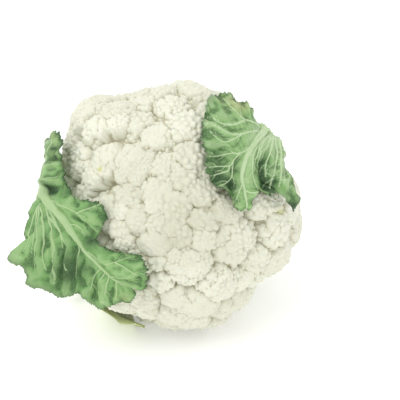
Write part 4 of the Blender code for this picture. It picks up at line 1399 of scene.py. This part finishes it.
def leaf_material(name, mottle, net, light, mid, dark, pale):
    """A waxy leaf: light and mid greens in patches, painted shade and highlights, pale veins of three sizes.
    """
    made, tree, shader = new_material(name, Specular_IOR_Level=0.40, Subsurface_Weight=0.0)
    flesh = add(tree, "ShaderNodeGroup", {"Patch Scale": 40.0, "Grain Scale": 700.0}, node_tree=mottle)
    patches, specks = flesh.outputs["Patches"], flesh.outputs["Specks"]
    finest = add(tree, "ShaderNodeGroup", {"Scale": 480.0}, node_tree=net).outputs["Net"]
    shade, stalk, relief_light_and_shade = (painted(tree, key) for key in ("shade", "stalk", "relief_light_and_shade"))
    green = layered(
        tree,
        blend(tree, between(tree, patches, 0.36, 0.62), mid, light),
        (specks, 0.52, 0.75, 0.28, dark),
        (painted(tree, "yellow"), 0.0, 1.0, 0.85, YELLOWED),
        (painted(tree, "margin"), 0.15, 0.75, 0.85, dark),
        # painted shade on low places of the relief and painted highlight on high ones
        (relief_light_and_shade, 0.5, 0.0, 0.70, dark),
        (relief_light_and_shade, 0.5, 1.0, 0.35, pale),
        # painted highlight in spots
        (painted(tree, "highlight"), 0.0, 1.0, 0.70, pale),
        # painted shade in hollows, darkest in the deepest
        (shade, 0.0, 1.0, 1.0, dark),
        (shade, 0.60, 1.0, 0.80, tuple(0.6 * channel for channel in dark)),
    )
    web = sum_of(tree, finest, sum_of(tree, 1.0, stalk, "SUBTRACT"), "MULTIPLY")
    web_share = sum_of(tree, web, between(tree, shade, 0.0, 1.0, 0.20, 0.08), "MULTIPLY")
    green = layered(
        tree,
        blend(tree, web_share, green, pale),
        (painted(tree, "twig"), 0.1, 0.8, 0.60, pale),
        (painted(tree, "vein"), 0.10, 0.65, 0.92, pale),
    )
    juicy = layered(
        tree,
        blend(tree, painted(tree, "fibre"), FIBRE_GREEN, FIBRE_PALE),
        (painted(tree, "root"), 0.0, 1.0, 0.85, ROOT_WHITE),
        (patches, 0.45, 0.75, 0.35, mid),
        (painted(tree, "cut"), 0.0, 1.0, 1.0, CUT_WHITE),
    )
    tree.links.new(blend(tree, stalk, green, juicy), shader.inputs["Base Color"])
    tree.links.new(between(tree, patches, 0.3, 0.7, 0.38, 0.52), shader.inputs["Roughness"])
    height = sum_of(tree, sum_of(tree, web, 0.6, "MULTIPLY"), specks)
    raise_by(tree, shader, height, 0.0005, 0.5)
    return made


def stalk_material(name, mottle, flesh_colour, streak_colour, cut_colour):
    """Juicy pale flesh with darker streaks, paler where it is cut."""
    made, tree, shader = new_material(name, Specular_IOR_Level=0.45)
    flesh = add(tree, "ShaderNodeGroup", {"Patch Scale": 90.0, "Grain Scale": 1500.0}, node_tree=mottle)
    specks = flesh.outputs["Specks"]
    colour = layered(
        tree,
        blend(tree, between(tree, flesh.outputs["Patches"], 0.35, 0.70), flesh_colour, streak_colour),
        (painted(tree, "cut"), 0.0, 1.0, 1.0, cut_colour),
        (painted(tree, "ring"), 0.0, 1.0, 0.60, STEM_RING_COLOUR),
    )
    tree.links.new(colour, shader.inputs["Base Color"])
    tree.links.new(between(tree, specks, 0.3, 0.7, 0.40, 0.58), shader.inputs["Roughness"])
    raise_by(tree, shader, specks, 0.0003, 0.4)
    return made


def lay_floor():
    """A wide white floor."""
    form = bmesh.new()
    bmesh.ops.create_grid(form, x_segments=1, y_segments=1, size=8.0)
    mesh = mesh_from(form, "floor")
    made, _, shader = new_material("white_table", Roughness=0.9, Specular_IOR_Level=0.1)
    shader.inputs["Base Color"].default_value = (FLOOR_WHITE, FLOOR_WHITE, FLOOR_WHITE, 1)
    shader.inputs["Emission Color"].default_value = (1.0, 1.0, 1.0, 1)
    shader.inputs["Emission Strength"].default_value = FLOOR_GLOW
    mesh.materials.append(made)
    placed("floor", mesh)


def light_room():
    """Soft white light from everywhere, and a little more from the upper left."""
    world = bpy.data.worlds.new("soft_room")
    world.use_nodes = True
    sky = world.node_tree.nodes["Background"]
    sky.inputs["Color"].default_value = (1.0, 1.0, 1.0, 1)
    sky.inputs["Strength"].default_value = 1.0
    bpy.context.scene.world = world
    sun = bpy.data.lights.new("key", "SUN")
    sun.energy = SUN_STRENGTH
    sun.angle = SUN_WIDTH
    placed("key", sun).rotation_euler = Vector(SUN_FROM).to_track_quat("Z", "Y").to_euler()


def place_camera():
    """The camera at the photograph's viewpoint, aimed so that the head is where the photograph has it."""
    back = Vector((0, -math.cos(AXIS_RISE), math.sin(AXIS_RISE)))
    up = Vector((0, math.sin(AXIS_RISE), math.cos(AXIS_RISE)))
    right = Vector((1, 0, 0))
    facing = Matrix((right, up, back)).transposed()
    turned = Matrix.Rotation(-AIM_RIGHT, 3, up) @ Matrix.Rotation(AIM_UP, 3, right) @ facing
    view = bpy.data.cameras.new("photograph_view")
    view.sensor_width = SENSOR
    view.lens = LENS
    view.clip_start = 0.01
    camera = placed("photograph_view", view)
    camera.matrix_world = Matrix.Translation(Vector(CENTRE) + back * EYE) @ turned.to_4x4()
    bpy.context.scene.camera = camera
    bpy.context.scene.view_settings.view_transform = "Standard"


def main():
    lay_floor()
    light_room()
    place_camera()
    mottle = mottle_group()
    net = vein_net_group()
    head = lay_out_head()
    build_curd(head, curd_material(mottle))
    build_stem(stalk_material("stem_flesh", mottle, *STEM_FLESH))
    skins = {name: leaf_material(name, mottle, net, *greens) for name, greens in GREENS.items()}
    for name, leaf, columns, rows, node, slot in (
        ("left_leaf", LEFT_LEAF, 330, 120, "leaf_left", "leaf"),
        ("right_leaf", RIGHT_LEAF, 290, 144, "leaf_right", "leaf"),
        ("under_leaf", UNDER_LEAF, 120, 40, "leaf_under", "pale_leaf"),
    ):
        build_leaf(name, leaf, head, columns, rows, skins[name + "_skin"], node)
    for number, place in enumerate(CUT_STALKS, start=1):
        name, node = f"cut_stalk_{number}", f"stalk_{number}"
        build_leaf(name, cut_stalk(*place), head, 60, 24, skins["stalk_skin"], node)


main()
